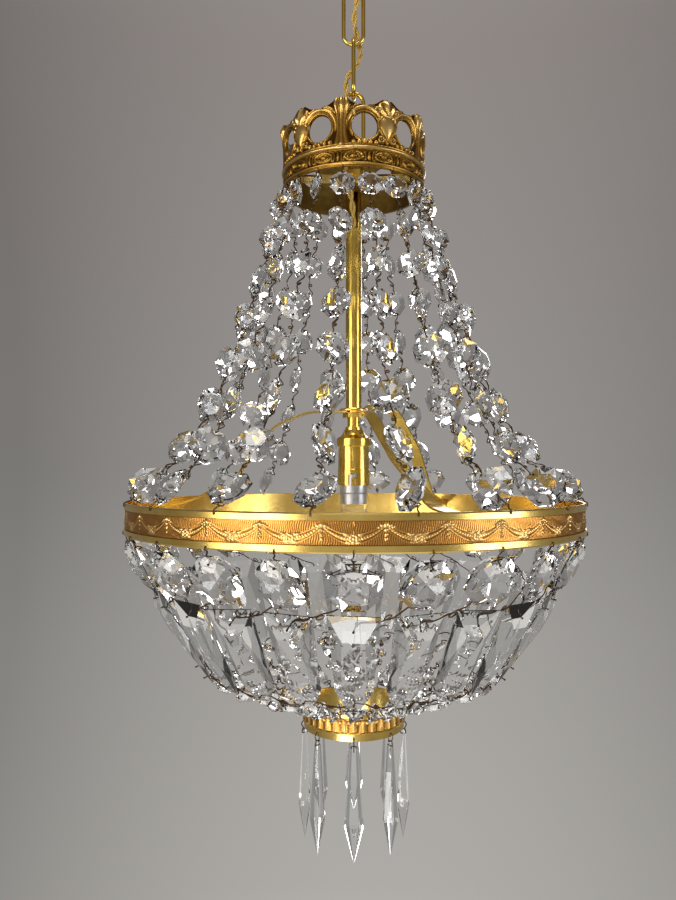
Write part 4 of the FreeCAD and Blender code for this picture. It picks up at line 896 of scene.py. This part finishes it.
def addPin(kind, upper, lower, turn):
    # from the upper crystal's low hole, behind it, through a twisted eye, to the lower one's hole
    upHole, upFace, upReach = upper
    lowHole, lowFace, lowReach = lower
    way = lowHole - upHole
    across = way.cross(upFace + lowFace).normalized() * pinWire["eye"] * turn
    behind = pinWire["behind"]
    wireLines[kind].append([
        upHole + upFace * (upReach + behind * 0.3),
        upHole - upFace * upReach,
        upHole - upFace * (upReach + behind) + way * 0.12,
        upHole - upFace * behind * 0.6 + way * 0.32,
        upHole + way * 0.46 + across,
        upHole + way * 0.6 + upFace * behind * 0.7,
        upHole + way * 0.5 - across,
        upHole + way * 0.42 - upFace * behind * 0.5,
        upHole + way * 0.6 + across * 0.8,
        lowHole - lowFace * behind * 0.6 - way * 0.26,
        lowHole - lowFace * (lowReach + behind) - way * 0.08,
        lowHole - lowFace * lowReach,
        lowHole + lowFace * (lowReach + behind * 0.3),
    ])
    for hole, face, reach in (upper, lower):
        wireHeads[kind].append((hole + face * (reach + behind * 0.1), face))


def addEdgeHook(kind, hole, azimuth, outer, edge, way):
    # from a crystal's hole over the metal's edge; way is 1 at a top edge and -1 at a lower one
    middle, face, reach = hole
    behind = pinWire["behind"]
    wire = pinWire["radius"]
    rest = polar(outer - pinWire["hookInset"], azimuth, edge + way * wire * 2)
    between = rest - middle
    sideways = between.cross(face).normalized() * pinWire["eye"]
    wireLines[kind].append([
        middle + face * (reach + behind * 0.3),
        middle - face * reach,
        middle - face * (reach + behind) + between * 0.15,
        middle + between * 0.45 + sideways,
        middle + between * 0.55 - sideways,
        rest - between * 0.15,
        rest,
        polar(outer + wire * 1.2, azimuth, edge + way * wire),
        polar(outer + wire * 1.2, azimuth, edge - way * pinWire["hookDrop"]),
        polar(outer + wire * 0.8, azimuth, edge - way * pinWire["hookEnd"]),
    ])
    wireHeads[kind].append((middle + face * (reach + behind * 0.1), face))


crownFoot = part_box("crown")[0].z
crownRadius = crownForm["radius"] * millimetre
strandCount = 18

for strandIndex in range(1, strandCount + 1):
    nodeName = f"strand_{strandIndex:02d}"
    solids = sorted(solidsOf(nodeName), key=lambda points: -meanPoint(points).z)
    seats = [octagonFrame(points) for points in solids]
    cut = []
    holes = []
    for place, width in seats:
        thickness = width * octagonCut["thickness"]
        cut.append((octagonCrystal(width, thickness), place))
        holes.append(octagonHoles(place, width, thickness))
    azimuth = azimuthOf(seats[0][0].translation)
    addEdgeHook("strand", holes[0][0], azimuth, crownRadius, crownFoot, -1)
    for index, (upper, lower) in enumerate(zip(holes, holes[1:])):
        addPin("strand", upper[1], lower[0], 1 if (index + strandIndex) % 2 else -1)
    addEdgeHook("strand", holes[-1][1], azimuth, hoopRadius, hoopTop, 1)
    addPiece(
        f"strandCrystals_{strandIndex:02d}", joinShapes(cut), leadCrystal, "fixture",
        [nodeName],
    )
print("strands hung")


# the basket: large octagons, long plaques and small octagons in 24 columns

basketCut = {
    "octagonThickness": 11.0 * millimetre,
    "beadThickness": 7.0 * millimetre,
    "column": 4,  # degrees either side in which a column's small octagons lie
    "rimInset": 1.1 * millimetre,  # from the bottom ring's widest to its top edge
}
# millimetres
plaqueCut = {
    "halfTop": 16.0,
    "halfShoulder": 12.0,
    "halfTip": 4.5,
    "shoulder": 60.0,
    "length": 75.0,
    "back": -2.2,  # the flat back
    "edge": -1.5,  # the front of the thin rim
    "front": 4.4,  # the flat front
    "bevelEnd": 15.0,  # how far down the top bevel reaches
    "bevelHalf": 7.0,  # half its width there
    "lozengeTop": 33.0,  # the long lozenge of the lower half, which slopes to the tip
    "lozengeWide": 50.0,
    "lozengeHalf": 8.0,
    "lozengeFront": 1.9,
    "lozengeShort": 3.0,  # from its lower end to the tip
    "hole": 8.5,
    "tipHole": 6.0,
    "reach": 2.6,  # half the glass at the top hole
    "tipReach": 1.82,
}


def plaqueCrystal():
    # a flat back, a trapezoid bevel at the hole, roof-like flanks, and a lozenge towards the tip
    cut = plaqueCut
    slope = (cut["front"] - cut["lozengeFront"]) / (cut["lozengeWide"] - cut["lozengeTop"])
    lozengeEnd = cut["length"] - cut["lozengeShort"]
    tipFront = max(cut["front"] - slope * (lozengeEnd - cut["lozengeTop"]), cut["edge"])
    points = [(cut["front"], 0, -cut["lozengeTop"]), (tipFront, 0, -lozengeEnd)]
    for side in (-1, 1):
        for forward in (cut["back"], cut["edge"]):
            points.append((forward, side * cut["halfTop"], 0))
            points.append((forward, side * cut["halfShoulder"], -cut["shoulder"]))
            points.append((forward, side * cut["halfTip"], -cut["length"]))
        points.append((cut["front"], side * cut["bevelHalf"], -cut["bevelEnd"]))
        points.append((cut["lozengeFront"], side * cut["lozengeHalf"], -cut["lozengeWide"]))
    bm = crystalHull([], points)
    bmesh.ops.scale(bm, vec=(millimetre,) * 3, verts=bm.verts[:])
    return bm


def byAzimuth(seats):
    return sorted(seats, key=lambda seat: azimuthOf(seat[0].translation) % 360)


octagonSeats = byAzimuth([octagonFrame(points) for points in solidsOf("basket_octagons")])
plaqueSeats = byAzimuth([plaqueFrame(points) for points in solidsOf("basket_plaques")])
beadSeats = [octagonFrame(points) for points in solidsOf("basket_beads")]
bigOctagon = octagonCrystal(octagonSeats[0][1], basketCut["octagonThickness"])
smallOctagon = octagonCrystal(beadSeats[0][1], basketCut["beadThickness"])
for name, shape, seats, nodeName in (
    ("basketOctagonCrystals", bigOctagon, octagonSeats, "basket_octagons"),
    ("basketPlaqueCrystals", plaqueCrystal(), plaqueSeats, "basket_plaques"),
    ("basketBeadCrystals", smallOctagon, beadSeats, "basket_beads"),
):
    shapes = [(shape, place) for place, size in seats]
    addPiece(name, joinShapes(shapes), leadCrystal, "fixture", [nodeName])


def beadsBelow(azimuth):
    # a column's small octagons, from the top down
    beads = []
    for place, width in beadSeats:
        apart = (azimuthOf(place.translation) - azimuth + 180) % 360 - 180
        if abs(apart) < basketCut["column"]:
            beads.append((place, width))
    return sorted(beads, key=lambda bead: -bead[0].translation.z)


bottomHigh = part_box("bottom_ring")[1]

for column, (octagonSeat, plaqueSeat) in enumerate(zip(octagonSeats, plaqueSeats)):
    azimuth = azimuthOf(octagonSeat[0].translation)
    turn = 1 if column % 2 else -1
    top, low = octagonHoles(*octagonSeat, basketCut["octagonThickness"])
    topHole = holeAt(plaqueSeat[0], -plaqueCut["hole"] * millimetre, plaqueCut["reach"] * millimetre)
    tipDrop = (plaqueCut["length"] - plaqueCut["tipHole"]) * millimetre
    tipHole = holeAt(plaqueSeat[0], -tipDrop, plaqueCut["tipReach"] * millimetre)
    thickness = basketCut["beadThickness"]
    holes = [octagonHoles(place, width, thickness) for place, width in beadsBelow(azimuth)]
    addEdgeHook("basket", top, azimuth, hoopRadius, hoopLow.z, -1)
    addPin("basket", low, topHole, turn)
    addPin("basket", tipHole, holes[0][0], -turn)
    for upper, lower in zip(holes, holes[1:]):
        addPin("basket", upper[1], lower[0], turn)
    rim = bottomHigh.x - basketCut["rimInset"]
    addEdgeHook("basket", holes[-1][1], azimuth, rim, bottomHigh.z, 1)


def makeWires(kind, name, replaced):
    mesh = meshFromCurves(name, wireLines[kind], pinWire["radius"], steps=2)
    radius = pinWire["head"]
    heads = bmesh.new()
    for point, face in wireHeads[kind]:
        place = Matrix.Translation(point) @ face.to_track_quat("Z", "Y").to_matrix().to_4x4()
        bmesh.ops.create_cone(
            heads, cap_ends=True, segments=6, radius1=radius, radius2=radius * 0.5,
            depth=radius * 0.8, matrix=place,
        )
    heads.from_mesh(mesh)
    bpy.data.meshes.remove(mesh)
    addPiece(name, heads, bronzeWire, "fixture", replaced)


makeWires("strand", "strandWires", ["crystal_pins"])
makeWires("basket", "basketWires", [])
print("basket hung:", len(plaqueSeats), "columns")


# icicle drops on the bottom ring

icicleCut = {
    "count": 8,
    "sides": 6,
    "headShare": 0.3,  # widths as shares of the widest
    "neckShare": 0.42,
    "neck": 3.0 * millimetre,
    "widest": 0.68,  # as a share of the length
    "squeeze": 0.72,  # depth as a share of the width
    "holeDrop": 3.4 * millimetre,
    "crook": 2.2 * millimetre,  # from the hole's middle to the wire in front of and behind the glass
    "crookRise": 2.4 * millimetre,
    "loopCorners": 8,
}


def icicleCrystal(length, width):
    # long six-sided drop: blunt head, slow swell, short sharp point
    bm = bmesh.new()
    cut = icicleCut
    levels = (
        (0.0, cut["headShare"]),
        (cut["neck"], cut["neckShare"]),
        (length * cut["widest"], 1.0),
    )
    for down, share in levels:
        radius = width / 2 / math.cos(math.pi / cut["sides"]) * share
        place = Matrix.Translation((0, 0, -down)) @ Matrix.Diagonal((cut["squeeze"], 1, 1, 1))
        bmesh.ops.create_circle(bm, segments=cut["sides"], radius=radius, matrix=place)
    corners = [vert.co.copy() for vert in bm.verts]
    bm.free()
    return crystalHull([], corners + [Vector((0, 0, -length))])


def icicleLoop(outward, middle, radius, hole):
    # from the hole's front round behind it, once round the CAD ring's circle, and back to the front
    up = Vector((0, 0, 1))
    beside = outward * icicleCut["crook"]
    above = up * icicleCut["crookRise"]
    line = [hole + beside, hole - beside, hole - beside + above]
    half = math.pi / icicleCut["loopCorners"]
    for corner in range(icicleCut["loopCorners"]):
        # up the inner side of the loop, over its top and down the outer side
        angle = (2 * corner + 1) * half
        way = outward * -math.sin(angle) - up * math.cos(angle)
        line.append(middle + way * radius / math.cos(half))
    return line + [hole + beside + above, hole + beside]


def hangIcicle(index):
    nodeName = f"spear_{index}"
    body = f"spear_{index}_drop"
    solids = sorted(solidsOf(nodeName), key=lambda points: meanPoint(points).z)
    glass, ring = solids[0], solids[-1]
    top = max(point.z for point in glass)
    length = top - min(point.z for point in glass)
    axis = meanPoint(glass)
    azimuth = azimuthOf(axis)
    outward = polar(1.0, azimuth, 0.0)
    width = max(abs(outward.cross(point - axis).z) for point in glass) * 2
    place = Matrix.Translation(polar(math.hypot(axis.x, axis.y), azimuth, top))
    place = place @ Matrix.Rotation(math.radians(azimuth), 4, "Z")
    crystal = joinShapes([(icicleCrystal(length, width), place)])
    addPiece(f"spearCrystal_{index}", crystal, leadCrystal, body, [nodeName])
    middle = meanPoint(ring)
    across = outward.cross(Vector((0, 0, 1)))
    wire = max((point - middle).dot(across) for point in ring)
    radius = max(point.z for point in ring) - middle.z - wire
    line = icicleLoop(outward, middle, radius, place @ Vector((0, 0, -icicleCut["holeDrop"])))
    mesh = meshFromCurves(f"spearWire_{index}", [line], wire, steps=3)
    addMesh(mesh.name, mesh, bronzeWire, body, (), True)


for index in range(1, icicleCut["count"] + 1):
    hangIcicle(index)
print("icicles hung")


# camera, floor, lights and world

cameraSetup = {
    "distance": 0.594,
    "eyeLevel": 0.0245,  # above the hoop's top edge
    "lens": 30.0,
    "pitch": 1.45,
    "yaw": 1.2,
}
camera = bpy.data.objects.new("camera", bpy.data.cameras.new("camera"))
bpy.context.scene.collection.objects.link(camera)
camera.data.lens = cameraSetup["lens"]
camera.data.clip_start = 0.01
stand = (0, -cameraSetup["distance"], hoopTop + cameraSetup["eyeLevel"])
tilt = Matrix.Rotation(math.radians(cameraSetup["yaw"]), 4, "Z")
tilt = tilt @ Matrix.Rotation(math.radians(90 + cameraSetup["pitch"]), 4, "X")
camera.matrix_world = Matrix.Translation(stand) @ tilt
bpy.context.scene.camera = camera

room = {
    # from straight down to straight up, as shares of the way
    "walls": [
        (0.0, "#e6e3de"), (0.2, "#c2bfba"), (0.26, "#aeaba6"), (0.4, "#a5a29e"),
        (0.5, "#989592"), (0.745, "#908986"), (0.95, "#a19d99"),
    ],
    "brightest": 0.04,  # where between left and right the wall is lit most
    "sideLevel": 0.62,
    "sideReach": 0.2,  # squared distance from the brightest at which that level is reached
    "nearLevel": 1.35,  # the room behind the camera
    "nearRamp": (-0.2, -0.8),  # from the side walls to it
}


def makeWorld():
    # plain grey room: darker overhead and to the sides, paler low down
    world = bpy.data.worlds.new("room")
    world.use_nodes = True
    tree = world.node_tree
    background = tree.nodes["Background"]
    way = addNode(tree, "ShaderNodeTexCoord").outputs["Generated"]
    parts = addNode(tree, "ShaderNodeSeparateXYZ", links={"Vector": way}).outputs
    share = addNode(
        tree, "ShaderNodeMapRange", {"From Min": -1.0, "From Max": 1.0}, {"Value": parts["Z"]}
    ).outputs["Result"]
    walls = addRamp(tree, share, room["walls"])
    aside = addNode(
        tree, "ShaderNodeMath", {"operation": "SUBTRACT", 1: room["brightest"]}, {0: parts["X"]}
    ).outputs["Value"]
    aside = addNode(
        tree, "ShaderNodeMath", {"operation": "POWER", 1: 2.0}, {0: aside}
    ).outputs["Value"]
    sides = {"From Max": room["sideReach"], "To Min": 1.0, "To Max": room["sideLevel"]}
    level = addNode(tree, "ShaderNodeMapRange", sides, {"Value": aside}).outputs["Result"]
    start, end = room["nearRamp"]
    behind = {"From Min": start, "From Max": end, "To Min": 1.0, "To Max": room["nearLevel"]}
    near = addNode(tree, "ShaderNodeMapRange", behind, {"Value": parts["Y"]}).outputs["Result"]
    level = addNode(
        tree, "ShaderNodeMath", {"operation": "MULTIPLY"}, {0: level, 1: near}
    ).outputs["Value"]
    tree.links.new(walls, background.inputs["Color"])
    tree.links.new(level, background.inputs["Strength"])
    bpy.context.scene.world = world


makeWorld()


def addLamp(name, place, aim, size, watts, colour="#ffffff"):
    data = bpy.data.lights.new(name, "AREA")
    data.shape = "RECTANGLE"
    data.size, data.size_y = size
    data.energy = watts
    data.color = linearColour(colour)[:3]
    lamp = bpy.data.objects.new(name, data)
    bpy.context.scene.collection.objects.link(lamp)
    lamp.location = place
    lamp.rotation_euler = (Vector(aim) - Vector(place)).to_track_quat("-Z", "Y").to_euler()


hoopMiddle = (0, 0, hoopTop)
addLamp("leftLamp", (-1.4, -1.42, hoopTop + 0.1), hoopMiddle, (1.3, 0.9), 21.0, "#fff8ee")
addLamp("rightLamp", (1.82, -0.83, hoopTop + 0.1), hoopMiddle, (1.0, 0.9), 16.0, "#f6f8ff")
addLamp("backLamp", (0.6, 1.9, hoopTop + 0.7), hoopMiddle, (0.6, 0.6), 8.0)
addLamp("topLamp", (0.0, -0.3, 1.0), hoopMiddle, (0.6, 0.6), 8.0)
addLamp("lowLamp", (-0.4, -1.15, -1.2), (0, 0, -0.6), (0.7, 0.4), 6.0)

floorForm = {
    "radius": 1.2,
    "height": -1.6,
    "colour": "#d9d6d1",
    "glow": 0.3,
    "fadeFrom": 0.5,
    "fadeTo": 1.15,
}


def makeFloor():
    # plain pale floor far below, whose edge fades out
    bm = bmesh.new()
    bmesh.ops.create_circle(bm, cap_ends=True, segments=64, radius=floorForm["radius"])
    mesh = bpy.data.meshes.new("floor")
    bm.to_mesh(mesh)
    bm.free()
    floor = bpy.data.objects.new("floor", mesh)
    bpy.context.scene.collection.objects.link(floor)
    floor.location.z = floorForm["height"]
    material, tree, shader = newMaterial("paintedFloor")
    shader.inputs["Base Color"].default_value = linearColour(floorForm["colour"])
    shader.inputs["Roughness"].default_value = 0.9
    shader.inputs["Emission Color"].default_value = linearColour(floorForm["colour"])
    shader.inputs["Emission Strength"].default_value = floorForm["glow"]
    place = addNode(tree, "ShaderNodeTexCoord").outputs["Object"]
    far = addNode(
        tree, "ShaderNodeVectorMath", {"operation": "LENGTH"}, {0: place}
    ).outputs["Value"]
    fade = {"From Min": floorForm["fadeFrom"], "From Max": floorForm["fadeTo"]}
    share = addNode(tree, "ShaderNodeMapRange", fade, {"Value": far}).outputs["Result"]
    clear = addNode(tree, "ShaderNodeBsdfTransparent").outputs["BSDF"]
    mix = addNode(
        tree, "ShaderNodeMixShader", links={0: share, 1: shader.outputs["BSDF"], 2: clear}
    )
    tree.links.new(mix.outputs["Shader"], tree.nodes["Material Output"].inputs["Surface"])
    mesh.materials.append(material)


makeFloor()
bpy.context.scene.view_settings.view_transform = "Standard"
print("camera and lights set")
